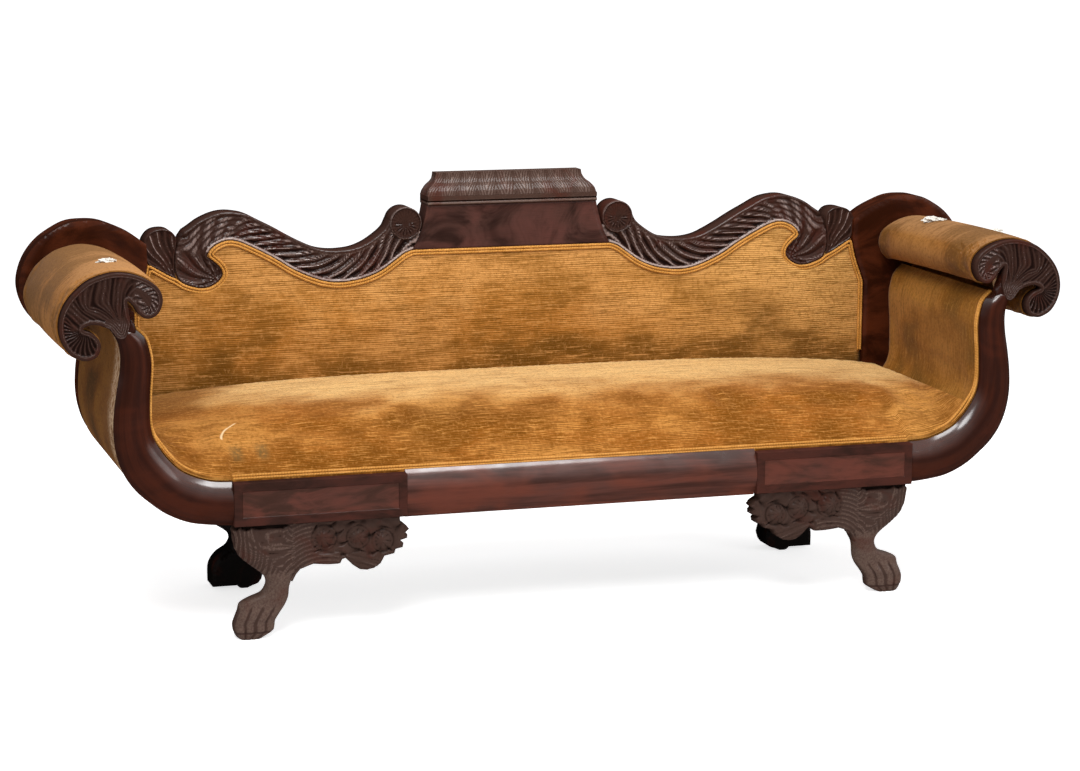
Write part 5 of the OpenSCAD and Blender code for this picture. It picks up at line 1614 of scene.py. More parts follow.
@dataclass
class Crest(Assembly):
    """Carved crest rails with their ears and rosettes, and the tablet with its cap.

    Attributes:
        depth: Depth of the leaves.
        pitch: Distance from leaf to leaf along the rail.
        lean: How far a leaf runs outwards as it falls.
        rosette_r: Radius of a rosette.
        bead_h: Height of the foot of the cap.
        fall: Fall of the cap's front from its foot to its top.
    """

    depth: float = 6
    pitch: float = 27
    lean: float = 92
    rosette_r: float = 36
    bead_h: float = 20
    fall: float = 28

    def flank(self) -> np.ndarray:
        """The tablet's right edge, from its foot up."""
        plan = self.plan
        shares, size = np.array(TABLET_FLANK) * (-1, 1), (plan.tablet_flare, plan.tablet_h)
        return smooth_open(placed(shares, (plan.tablet_half, plan.tablet_z), size))

    def rail_outline(self) -> np.ndarray:
        """Outline of one half of the crest rail."""
        plan = self.plan
        edges = [smooth_open(plan.crest(share)) for share in (CREST_LOWER, CREST_HOOK, CREST_UPPER)]
        flank = self.flank()
        foot = flank[flank[:, 1] < plan.crest_z + 0.66 * plan.crest_h][::-1]
        return np.vstack([*edges, plan.crest([ROSETTE]), foot[:-1]])

    def carve_rail(self, flat: np.ndarray, gap: np.ndarray) -> tuple[np.ndarray, np.ndarray]:
        """Leaves that spring from a stem under the upper rim and flow outwards to a bead."""
        plan = self.plan
        low, _ = nearest(flat, smooth_open(plan.crest(CREST_LOWER)))
        high, along = nearest(flat, smooth_open(plan.crest(CREST_UPPER))[::-1])
        c = low / np.maximum(low + high, 1e-6)
        cx, cz = ((flat - (plan.tablet_half, plan.crest_z)) / (plan.crest_l, plan.crest_h)).T
        phase = (along - self.lean * (1 - c) ** 1.15) / self.pitch
        leaf = foliage(phase, 0.9 * c, 2)
        part = np.abs(phase - np.round(phase))
        group = phase / 3 - np.floor(phase / 3)
        gaps = bump((group - 0.52) / 0.13) * ease((0.8 - c) / 0.2)
        eyes = np.exp(-(((group - 0.5) / 0.07) ** 2) - ((c - 0.62) / 0.1) ** 2)
        tips = ease((0.2 + 0.25 * part - c) / 0.05) * ease((part - 0.16) / 0.1)
        stem = reeds(2.2 * c + 0.35) * ease((c - 0.72) / 0.08)
        leaf = np.clip(np.maximum(leaf * (1 - 0.45 * gaps), 0.85 * stem) - 0.6 * eyes - 0.55 * tips, 0, 1)
        band = reeds(5.5 * c + along / 95) * 0.55 + 0.4 * foliage(along / 42 + 1.5 * c, 2 * c, 2)
        far, angle = polar(flat, plan.crest([(0.735, 0.1)])[0])
        disc = foliage(np.degrees(angle) / 24 + 0.25 * np.sin(far / 22), far / 40, 3) * 0.8 + 0.1
        at_disc = ease((cx - 0.68) / 0.05) * ease((0.56 - cz) / 0.16)
        height = blend(blend(leaf, band, ease((cx - 0.6) / 0.1)), disc, at_disc)
        zone = np.where(at_disc > 0.5, ease((gap - 4) / 2.5), ease((high - 5) / 3) * ease((low - 7) / 2))
        sink = zone * (1 + self.depth * (1 - height))
        bead = 2.4 * (1 - np.sqrt(np.clip(1 - ((low - 3.2) / 3.4) ** 2, 0, 1)))
        on_bead = (at_disc <= 0.5) & (low < 7.5)
        sink = np.where(on_bead, np.maximum(bead, sink), sink)
        # On the bead the relief rises past 1.2, where the finish paints a highlight line.
        return sink, np.where(on_bead, 1.5 - 0.5 * bead, blend(0.72, 0.12 + 0.88 * height, zone))

    def carve_rosette(self, centre: np.ndarray) -> Carving:
        """The rule of a rosette: a ring about a dome above and a fluted fan below."""

        def rule(flat: np.ndarray, gap: np.ndarray) -> tuple[np.ndarray, np.ndarray]:
            """Sinking and relief at each point."""
            r, angle = polar(flat, centre + (0, -3))
            groove = bump((gap - 4) / 1.6)
            field = ease((gap - 4.5) / 1.5)
            fan = flutes(angle * 26 / math.tau)
            below = ease((centre[1] + 4 - flat[:, 1]) / 4) * ease((r - 3) / 5) * ease((27 - r) / 6)
            petals = flutes(angle * 17 / math.tau) * below
            height = np.clip(0.35 + 0.3 * fan * ease(r / 8) + 0.6 * petals - 0.2 * below * (1 - petals), 0, 1)
            sink = 0.3 + 2.4 * groove + field * (0.6 + 3.2 * (1 - height))
            return sink, np.clip(0.8 * (1 - field) - 0.8 * groove + field * height, 0, 1)

        return rule

    def carve_ear(self, flat: np.ndarray, gap: np.ndarray) -> tuple[np.ndarray, np.ndarray]:
        """Ridges that fan up from the ear's lower tip."""
        far, angle = polar(flat, self.plan.crest([(0.872, 0)])[0])
        turn = angle / math.tau
        height = 0.7 * flutes(turn * 48 + 0.2 * np.sin(far / 13)) + 0.3 * foliage(turn * 12, far / 30, 2)
        zone = ease((gap - 2.5) / 2)
        return zone * (0.8 + 2.4 * (1 - height)), blend(0.6, 0.1 + 1.15 * height, zone)

    def carve_tablet(self, flat: np.ndarray, gap: np.ndarray) -> tuple[np.ndarray, np.ndarray]:
        """A flat field between coves along the flanks."""
        side = nearest(np.column_stack([np.abs(flat[:, 0]), flat[:, 1]]), self.flank())[0]
        field = ease((side - 9) / 1.5)
        cove = 2.2 * np.sin(np.pi * np.clip(side / 10, 0, 1)) * (1 - field)
        return cove + 0.8 * field, field

    def cap(self) -> Form:
        """The cap: a bead at its foot, and leaves up an ovolo that falls back on three sides."""
        plan = self.plan
        half = plan.tablet_half - plan.tablet_flare
        rise = plan.cap_h - self.bead_h
        ovolo = smooth_open(np.array(CAP_OVOLO, float), 5)
        rows = [*CAP_FOOT, *((x * self.fall, plan.cap_lip, self.bead_h + z * rise, None) for x, z in ovolo)]
        y0 = plan.crest_front - plan.cap_lip
        deep = plan.depth - y0
        xs = np.linspace(-half, half, 241)
        ys = np.linspace(plan.depth, y0, 24)
        s = np.concatenate([ys[:-1] - y0, xs + half, ys[::-1][1:] - y0 + 2 * half])
        ends = len(ys) - 1
        inwards = np.repeat([(1, 0), (0, 1), (-1, 0)], [ends, len(xs), ends], axis=0)
        grid, relief = [], []
        for fall, back, z, tone in rows:
            front = np.column_stack([xs * (half - fall) / half, np.full(len(xs), y0 + back + fall)])
            depths = plan.depth - (plan.depth - ys) * (deep - back - fall) / deep
            left = np.column_stack([np.full(len(ys), fall - half), depths])
            path = np.vstack([left[:-1], front, flipped(left)[1:]])
            level = np.full(len(path), 0.0 if tone is None else tone)
            if tone is None:
                v = (z - self.bead_h) / rise
                part = s / 46 - np.round(s / 46)
                veins = reeds(7 * np.abs(part) - 2.2 * v + 0.2 * np.sin(s / 9))
                level = 0.3 * foliage(s / 46, np.full(len(s), v), 1) + 0.7 * veins
                keep = math.sin(math.pi * min(max(v, 0), 1)) ** 0.5
                path = path + (2.6 * (1 - level) * keep)[:, None] * inwards
            grid.append(np.column_stack([path, np.full(len(path), plan.tablet_top + z)]))
            relief.append(level)
        count, cols = len(grid), len(grid[0])
        points = np.vstack(grid)
        at = np.arange(count * cols).reshape(count, cols)
        faces = [*capped(count, cols, False), tuple(np.concatenate([at[:, 0], at[::-1, -1]]).tolist())]
        return Form(points, faces, points[:, [0, 2, 1]] * MM, np.concatenate(relief))

    def build(self) -> None:
        """Makes and dresses the crest."""
        plan = self.plan
        front, back = plan.crest_front, plan.frame_back
        rail = board(self.rail_outline(), front, back, spacing=2.6, carve=self.carve_rail, rim=2.2)
        for side in Side:
            show(rail.on(side), f"crest_leaves_{side}", FINISH.carved, [f"crest_rail_{side}"], angle=60)
        centre = plan.crest([ROSETTE])[0]
        turn = np.linspace(0, math.tau, 97)[:-1]
        disc = centre + self.rosette_r * np.stack([np.cos(turn), np.sin(turn)], axis=1)
        rosette = board(disc, front - plan.cap_lip, back - 0.4, 1.8, self.carve_rosette(centre), rim=2.5)
        show(rosette.paired(), "crest_rosette_pair", FINISH.carved, ["crest_rosettes"], angle=60)
        ear = board(smooth_closed(plan.crest(EAR)), front, back - 0.4, 1.7, self.carve_ear, rim=1.6)
        show(ear.paired(), "crest_ear_pair", FINISH.carved, ["crest_ears"], angle=60)
        flank = self.flank()
        tablet = board(np.vstack([flank, flipped(flank)]), front, back, 3.2, self.carve_tablet, rim=1)
        show(tablet, "crest_panel", FINISH.tablet, ["crest_tablet"])
        show(self.cap(), "crest_cap", FINISH.cap, ["tablet_cap"], angle=60)


@dataclass
class Legs(Assembly):
    """Paw legs with their fruit brackets, and the plain rear feet.

    Attributes:
        set_back: Set of the legs behind the face of the rail.
        leg_t: Thickness of a front leg.
        leg_w: Width of a front leg.
        bracket_l: Length of a bracket.
        bracket_h: Height of a bracket.
        bracket_t: Thickness of a bracket.
        fruit_r: Radius of the middle fruit.
        foot_w: Width of a rear foot.
        foot_t: Its thickness.
        foot_front: Depth of its front.
        bend: Place round which the hairs of the leg and bracket turn.
        around: Points round a leg.
    """

    set_back: float = 8
    leg_t: float = 58
    leg_w: float = 138
    bracket_l: float = 232
    bracket_h: float = 111
    bracket_t: float = 40
    fruit_r: float = 22
    foot_w: float = 154
    foot_t: float = 70
    foot_front: float = 455
    bend: tuple[float, float] = (0, 0)
    around: int = 128

    def paw(self) -> Form:
        """A paw leg, lofted through sections from the sole up to the rail."""
        plan = self.plan
        x0 = plan.block_reach - self.leg_w
        self.bend = (x0 - 0.22 * self.bracket_l, plan.rail_z - 1.42 * self.bracket_h)
        size = (self.leg_w, plan.rail_z)
        outer = smooth_open(placed(LEG_OUTER, (x0, 0), size))[::-1]
        inner = smooth_open(placed(LEG_INNER, (x0, 0), size))
        front = placed(LEG_FRONT, (self.set_back, 0), (self.leg_t, plan.rail_z))[::-1]
        rear = self.set_back + self.leg_t
        turn = np.linspace(0, math.tau, self.around, endpoint=False)
        c, s = np.cos(turn), np.sin(turn)
        facing = np.clip(-s, 0, 1) ** 0.5
        grid, relief = [], []
        for z in np.linspace(0, plan.rail_z, 140):
            v = z / plan.rail_z
            a, b = (np.interp(z, edge[:, 1], edge[:, 0]) for edge in (inner, outer))
            f = np.interp(z, front[:, 1], front[:, 0])
            mid_x, mid_y = (a + b) / 2, (f + rear) / 2
            power = np.interp(v, (0, 0.25, 0.5, 0.8, 1), (0.62, 0.75, 0.85, 0.6, 0.42))
            power = np.where(c < 0, blend(0.3, power, ease((0.72 - v) / 0.2)), power)
            ex, ey = (np.sign(way) * np.abs(way) ** power for way in (c, s))
            wide = (b - a) / 2
            px = mid_x + wide * ex
            straight = ease((px - x0) / 75)
            bend = np.hypot(px - self.bend[0], z - self.bend[1])
            lines = blend(bend, px - self.bend[0] - 12 * math.sin(6 * v), straight)
            hairs = reeds(lines / 9 + 0.2 * np.sin(z / 17 + px / 9))
            fine = 0.5 + 0.5 * np.cos(math.tau * lines / 3.6)
            fur, toes = ease((v - 0.5) / 0.16), ease((0.33 - v) / 0.1)
            phase = (ex + 1) / 2
            toe = 0.5 + 0.5 * reeds(phase * 4 + 0.02)
            height = 1 - fur * (1 - (0.75 * hairs + 0.25 * fine)) - toes * (1 - toe)
            ragged = 0.978 - 0.028 * np.abs(np.sin(phase * 5.5 * math.pi)) ** 0.7
            shadow = ease((v - ragged) / 0.012) * fur
            ledge = bump((z - 15) / 2.2)
            depth = fur * (2.4 * (1 - hairs) + 0.7 * (1 - fine)) + toes * 6.5 * (1 - toe) * facing
            depth = np.maximum(depth + 5 * shadow + 1.6 * ledge, 0)
            knuckle = (2.2 * bump((v - 0.2) / 0.07) + 2.5 * bump((v - 0.07) / 0.06)) * toe * facing
            x = mid_x + wide * ex * (1 - depth * 0.55 / np.maximum(wide, 1))
            carved = depth * facing - knuckle * (f > self.set_back + 4)
            y = mid_y + (rear - f) / 2 * ey + np.where(s < 0, carved, 0)
            if z == 0:
                x, y = blend(mid_x, x, 0.94), blend(mid_y, y, 0.94)
            grid.append(np.stack([x, np.clip(y, self.set_back, rear), np.full(self.around, z)], axis=1))
            relief.append(np.clip(height - 0.8 * shadow - 0.5 * ledge + 0.1, 0, 1) * 0.85)
        points = np.vstack(grid)
        return Form(points, capped(len(grid), self.around), points[:, [2, 0, 1]] * MM, np.concatenate(relief))

    def carve_bracket(self, flat: np.ndarray, gap: np.ndarray) -> tuple[np.ndarray, np.ndarray]:
        """Three fluted fruits among leaves."""
        plan = self.plan
        size = np.array([self.bracket_l, self.bracket_h])
        corner = (plan.block_reach - self.leg_w, plan.rail_z) - size
        u, v = ((flat - corner) / size).T
        r, angle = polar(flat, corner + (1.02, 0.35) * size)
        leaf = reeds(angle * 26 / math.tau + 0.12 * np.sin(r / 9))
        height = 0.55 * leaf + 0.3 * (0.5 + 0.5 * np.cos(math.tau * (r / 30 + 0.8 * leaf)))
        zone = ease((gap - 1.5) / 4)
        sink, relief = blend(5, 2 + 10 * (1 - height), zone), blend(0.45, 0.1 + 0.75 * height, zone)
        horn = np.clip(ease((u - 0.84) / 0.07) + ease((0.4 - v) / 0.05) * ease((u - 0.62) / 0.04), 0, 1)
        away = apart(flat, self.bend)
        hair = 0.75 * reeds(away / 9 + 0.2 * np.sin(flat[:, 0] / 17)) + 0.25 * reeds(away / 3.6)
        dive = 9 * ease((u - 1.05) / 0.13) + 10 * ease((u - 0.98) / 0.05) * ease((0.2 - v) / 0.25)
        sink = blend(sink, 0.6 + 2.6 * (1 - hair) + dive, horn)
        relief = blend(relief, 0.1 + 0.75 * hair, horn)
        tip, root = (corner + share * size for share in ((0.27, 0.02), (0.66, 0.33)))
        axis = (root - tip) / np.hypot(*(root - tip))
        t, d = (flat - tip) @ axis, (flat - tip) @ (-axis[1], axis[0])
        blade = ease((0.36 - v) / 0.04) * ease((0.6 - u) / 0.03) * ease((19 - np.abs(d)) / 2)
        ridge = 0.5 * bump((d - 3) / 4) + 0.35 * reeds(d / 7 + t / 90)
        sink = blend(sink, 2.5 + 3.5 * (1 - ridge), blade)
        relief = blend(relief, 0.25 + 0.7 * ridge, blade)
        for *share, scale in FRUITS:
            centre = corner + share * size
            radius = 1.12 * self.fruit_r * scale
            d, turn = polar(flat, centre + (0.25 * radius, 0.1 * radius))
            far = apart(flat, centre)
            dome = 0.84 * radius - 0.92 * np.sqrt(np.clip(radius**2 - far**2, 0, None))
            seams = reeds(turn * 9 / math.tau + 0.3)
            near = dome < sink
            cut = 2.4 * (1 - seams) * ease(d / 7)
            halo = bump((far - radius) / 4)
            sink = np.where(near, np.maximum(dome + cut, -5.3), sink + 1.5 * halo)
            relief = np.where(near, 0.15 + 0.65 * seams * (1 - 0.6 * far / radius), relief * (1 - 0.5 * halo))
        return sink, np.clip(relief, 0, 1)

    def bracket(self) -> Form:
        """The carved bracket beside a leg."""
        plan = self.plan
        x0 = plan.block_reach - self.leg_w
        corner = (x0 - self.bracket_l, plan.rail_z - self.bracket_h)
        outline = placed(BRACKET, corner, (self.bracket_l, self.bracket_h))
        outline = np.vstack([
            [(x0 + 46, plan.rail_z - 5), (x0 + 42, 165), (x0 + 32, 132), (x0 + 15, 119), (x0 + 8, 132)],
            outline,
        ])
        outline[-1, 0] += 48
        back = self.set_back + self.bracket_t
        return board(outline, self.set_back, back, spacing=2, carve=self.carve_bracket, rim=3)

    def rear(self) -> Form:
        """A plain rear foot."""
        plan = self.plan
        corner = (plan.block_reach - self.foot_w, 0)
        outline = placed(REAR_FOOT, corner, (self.foot_w, plan.rail_z + 2))
        outline = np.vstack([smooth_open(outline[:12]), outline[12:]])
        return board(outline, self.foot_front, self.foot_front + self.foot_t, spacing=6, rim=6)

    def build(self) -> None:
        """Makes and dresses the legs, brackets and feet."""
        paw, bracket, rear = self.paw(), self.bracket(), self.rear()
        for side in Side:
            show(paw.on(side), f"leg_{side}", FINISH.leg, [f"paw_leg_{side}"], angle=60)
            show(bracket.on(side), f"leaf_bracket_{side}", FINISH.leg, [f"fruit_bracket_{side}"], angle=60)
            show(rear.on(side), f"foot_behind_{side}", FINISH.dark, [f"rear_foot_{side}"])


def settled(top: np.ndarray, slack: float, pressure: float, most: float, frames: int = 16) -> np.ndarray:
    """A grid of velvet after it has settled, held along its border.

    Args:
        top: Grid of points in millimetres.
        slack: Share by which the cloth is longer than its grid.
        pressure: Push of the stuffing under it.
        most: How far a point may move, in millimetres.
        frames: Steps of the simulation.

    Returns:
        The grid as it has settled.
    """
    rows, cols = top.shape[:2]
    flat = top.reshape(-1, 3)
    mesh = bpy.data.meshes.new("cloth")
    mesh.from_pydata((flat * MM).tolist(), [], quads(rows, cols))
    holder = linked("cloth", mesh)
    scene = bpy.context.scene
    at = np.arange(rows * cols).reshape(rows, cols)
    border = np.setdiff1d(at, at[1:-1, 1:-1]).tolist()
    holder.vertex_groups.new(name="held").add(border, 1.0, "REPLACE")
    cloth = holder.modifiers.new("cloth", "CLOTH")
    cloth.settings.quality = 4
    cloth.settings.mass = 0.3
    cloth.settings.tension_stiffness = 12
    cloth.settings.compression_stiffness = 12
    cloth.settings.shear_stiffness = 6
    cloth.settings.bending_stiffness = 0.4
    cloth.settings.shrink_min = -slack
    cloth.settings.use_pressure = True
    cloth.settings.uniform_pressure_force = pressure
    cloth.settings.vertex_group_mass = "held"
    cloth.settings.effector_weights.gravity = 0
    cloth.collision_settings.use_collision = False
    cloth.point_cache.frame_start = 1
    cloth.point_cache.frame_end = frames
    for frame in range(1, frames + 1):
        scene.frame_set(frame)
    found = holder.evaluated_get(bpy.context.evaluated_depsgraph_get()).to_mesh()
    moved = np.empty(len(flat) * 3, np.float32)
    found.vertices.foreach_get("co", moved)
    holder.modifiers.remove(cloth)
    bpy.data.objects.remove(holder)
    scene.frame_set(1)
    move = moved.reshape(-1, 3) / MM - flat
    size = np.linalg.norm(move, axis=1, keepdims=True)
    move = np.where(np.isfinite(move), move, 0) * np.minimum(1, most / np.maximum(size, 1e-6))
    furthest = float(np.linalg.norm(move, axis=1).max())
    LOG.info("settled %d points, moved by up to %.1f mm", len(flat), furthest)
    return (flat + move).reshape(top.shape)


@dataclass
class Seat(Assembly):
    """Crowned velvet seat.

    Attributes:
        front: Depth of its front edge.
        back: Depth of its rear edge.
        half: Half its length along the arms.
        top: Height of its top in the middle.
        roundness: How full its front is.
        core_top: Height of the tops of the rails.
        core_back: Depth of the back of the front rail.
        rear_front: Depth of the front of the rear rail.
        rise: Rise of the spring canvas over the rails.
        canvas_t: Thickness of that canvas.
    """

    front: float = 24.3
    back: float = 521.7
    half: float = 892
    top: float = 455
    roundness: float = 4.5
    core_top: float = 332
    core_back: float = 74
    rear_front: float = 492
    rise: float = 45
    canvas_t: float = 1.4

    def edge(self, x: np.ndarray) -> np.ndarray:
        """Height of the inner edge of the arms at the distance x from the middle."""
        inner = self.plan.inner()[: 6 * STEPS + 1]
        return np.interp(np.abs(x), inner[:, 0], inner[:, 1])

    def canvas(self, x: np.ndarray, y: np.ndarray) -> np.ndarray:
        """Height of the underside of the spring canvas."""
        behind, before, beside = y - self.core_back, self.rear_front - y, self.plan.block_reach - np.abs(x)
        return self.core_top + self.rise * ease(behind / 30) * ease(before / 30) * ease(beside / 30)

    def bed(self, x: np.ndarray, y: np.ndarray) -> np.ndarray:
        """Height of the underside of the seat."""
        on_arms = np.where(np.abs(x) > self.plan.block_reach, self.edge(x) + 5, 0)
        return np.maximum(self.canvas(x, y) + 2, on_arms)

    def height(self, x: np.ndarray, y: np.ndarray) -> np.ndarray:
        """Height of the top of the seat."""
        low = np.maximum(self.edge(x), self.bed(x, np.full_like(y, self.front)) + 2.5) + 2.5
        high = self.top - self.plan.seat_fall * (np.abs(x) / (0.96 * self.plan.back_half)) ** 4
        t = (y - self.front) / (self.back - self.front)
        return low + np.maximum(high - low, 0) * (1 - (1 - t) ** self.roundness)

    def grid(self) -> tuple[np.ndarray, np.ndarray]:
        """Places of the grid over the seat."""
        depths = self.front + np.linspace(0, 1, 64) ** 1.5 * (self.back - self.front)
        return np.meshgrid(np.linspace(-self.half, self.half, 231), depths)

    def build(self) -> None:
        """Makes and dresses the seat, its canvas and springs."""
        x, y = self.grid()
        top = settled(np.stack([x, y, self.height(x, y)], axis=-1), slack=0.012, pressure=0.35, most=4)
        steps = np.linalg.norm(np.diff(top, axis=0), axis=2)
        across = np.vstack([np.zeros(x.shape[1]), np.cumsum(steps, axis=0)])
        under = np.stack([x, y, np.minimum(self.bed(x, y), top[..., 2] - 2)], axis=-1)
        pad = slab(top, under, lay_of(x, across))
        seat = show(pad, "seat_pad", FINISH.seat, ["seat_cover", "seat_stuffing"], angle=50)
        inner = np.abs(x[0]) < 0.83 * self.half
        low = np.stack([x, y, self.canvas(x, y) + 0.1], axis=-1)[:, inner][::2]
        canvas = slab(low + (0, 0, self.canvas_t), low, low * MM)
        sheet = show(canvas, "spring_cloth", FINISH.canvas, ["spring_canvas"], angle=60)
        show(self.springs(), "coil_set", FINISH.steel, ["seat_springs"], angle=80)

    def springs(self) -> bpy.types.Mesh:
        """Every coil spring of the seat, by a node tree."""
        row = self.core_back + (self.rear_front - self.core_back) / 3 * (np.arange(3) + 0.5)
        col = 0.22 * self.plan.block_reach * (np.arange(8) - 3.5)
        x, y = (place.ravel() for place in np.meshgrid(col, row))
        low = self.plan.rail_z + 2 + 2.3
        rise = np.minimum(self.canvas(x, y - 46), self.canvas(x, y + 46)) - 2.6 - low
        shape = NodeShape("coils", FINISH.steel, {
            "Radius": ("NodeSocketFloat", 36 * MM), "Wire": ("NodeSocketFloat", 2 * MM),
            "Turns": ("NodeSocketFloat", 4.0), "Waist": ("NodeSocketFloat", 0.28),
        })
        curl = shape.node("GeometryNodeCurveSpiral", {}, {
            "Resolution": 14, "Rotations": shape.given("Turns"), "Start Radius": shape.given("Radius"),
            "End Radius": shape.given("Radius"), "Height": 1.0, "Reverse": False,
        })
        factor = shape.node("GeometryNodeSplineParameter", {}, {}, "Factor")
        waist = 1 - (factor * math.pi).sine() * shape.given("Waist")
        across, deep, _ = shape.node("GeometryNodeInputPosition").parts()
        place = shape.vector(across * waist, deep * waist, factor.ramp(0.1, 0.9))
        curl = shape.node("GeometryNodeSetPosition", {}, {"Geometry": curl, "Position": place})
        coils = shape.set_out(shape.given("Geometry"), curl, shape.vector(1.0, 1.0, shape.read("rise")))
        inputs = {"Resolution": 6, "Radius": shape.given("Wire")}
        circle = shape.node("GeometryNodeCurvePrimitiveCircle", {}, inputs)
        spots = metres(np.column_stack([x, y, np.full(len(x), low)]))
        return shape.built(shape.swept(coils, circle), spots, [], {"rise": rise * MM})


@dataclass
class Back(Assembly):
    """Crowned velvet back with its welts.

    Attributes:
        crown: Stand of its crown in front of the crest.
        foot: Height of its lower edge.
        cord_r: Radius of a welt.
        rear: Depth of the back of its stuffing.
        cloth_t: Thickness of the outer cloth.
    """

    crown: float = 14
    foot: float = 415
    cord_r: float = 3
    rear: float = 547
    cloth_t: float = 1.5

    def top_edge(self) -> np.ndarray:
        """The right half of the velvet's upper edge, from the middle out and into the hook."""
        plan = self.plan
        lower = smooth_open(plan.crest(CREST_LOWER))
        hook = smooth_open(plan.crest(CREST_HOOK))[1 : 9 * STEPS]
        return np.vstack([[(0, plan.tablet_z)], lower, hook, plan.crest(EAR[:4])])

    def outline(self, *foot: tuple[float, float]) -> np.ndarray:
        """Outline of the back, closed below through these points of its right half."""
        right = np.vstack([self.top_edge(), self.plan.panel_edge(), foot])
        return np.vstack([right, flipped(right)[:-1]])

    def bulge(self, flat: np.ndarray) -> np.ndarray:
        """How far the velvet stands forward at each point."""
        plan = self.plan
        lower = np.vstack([[(0, plan.tablet_z)], smooth_open(plan.crest(CREST_LOWER))[: 14 * STEPS]])
        side = plan.panel_side()[::-1]
        rim = np.vstack([lower, plan.crest([(0.72, 0.5), (0.9, 0.2)]), side])
        top = np.interp(np.abs(flat[:, 0]), rim[:, 0], rim[:, 1])
        v = np.clip((flat[:, 1] - self.foot) / (top - self.foot), 0, 1)
        wide = 1 - np.minimum(np.abs(flat[:, 0]) / plan.back_half, 1) ** 6
        return self.crown * wide * ease((1 - v) / 0.45)

    def carve(self, flat: np.ndarray, gap: np.ndarray) -> tuple[np.ndarray, np.ndarray]:
        """The crown of the velvet, pulled in along its seams."""
        pulled = 2.5 * ease(1 - gap / 22)
        return pulled - self.bulge(flat), np.ones(len(flat))

    def welt_paths(self) -> list[np.ndarray]:
        """Middle lines of the two cords along the velvet's edge."""
        right = np.vstack([self.top_edge(), self.plan.panel_edge()[1:], [(self.plan.back_half, 452)]])
        whole = np.vstack([flipped(right)[:-1], right])
        fine = resampled(whole, int(run(whole)[-1] / 3))
        kernel = np.ones(5) / 5
        out = []
        for inset in (3.2, 9.4):
            path = shifted(fine, -inset)
            path = path[nearest(path, fine)[0] > inset - 0.35]
            padded = np.pad(path, ((2, 2), (0, 0)), mode="edge")
            path = np.stack([np.convolve(column, kernel, "valid") for column in padded.T], axis=1)
            sink = 1.5 + 0.35 * self.bulge(path) * (path[:, 1] < 600)
            out.append(stood(path, self.plan.crest_front - sink))
        return out

    def build(self) -> None:
        """Makes and dresses the back, its welts and its outer cloth."""
        plan = self.plan
        half, reach, seat = plan.back_half, plan.block_reach, plan.rail_top - 4
        velvet = self.outline((half - 0.5, self.foot))
        pad = board(velvet, plan.crest_front, self.rear, spacing=7, carve=self.carve, rim=2.5)
        pad = show(pad, "back_pad", FINISH.back, ["back_cover", "back_stuffing"], angle=60)
        welts = cords("back_cords", self.welt_paths(), self.cord_r, FINISH.gimp)
        show(welts, "back_welt", FINISH.gimp, [], angle=80)
        outline = self.outline((half, seat), (reach, seat), (reach, plan.rail_z + 2))
        cloth = board(outline, plan.frame_back, plan.frame_back + self.cloth_t, spacing=24, rim=0.4)
        rear = show(cloth, "back_lining", FINISH.lining, ["outer_back_cloth"], angle=50)


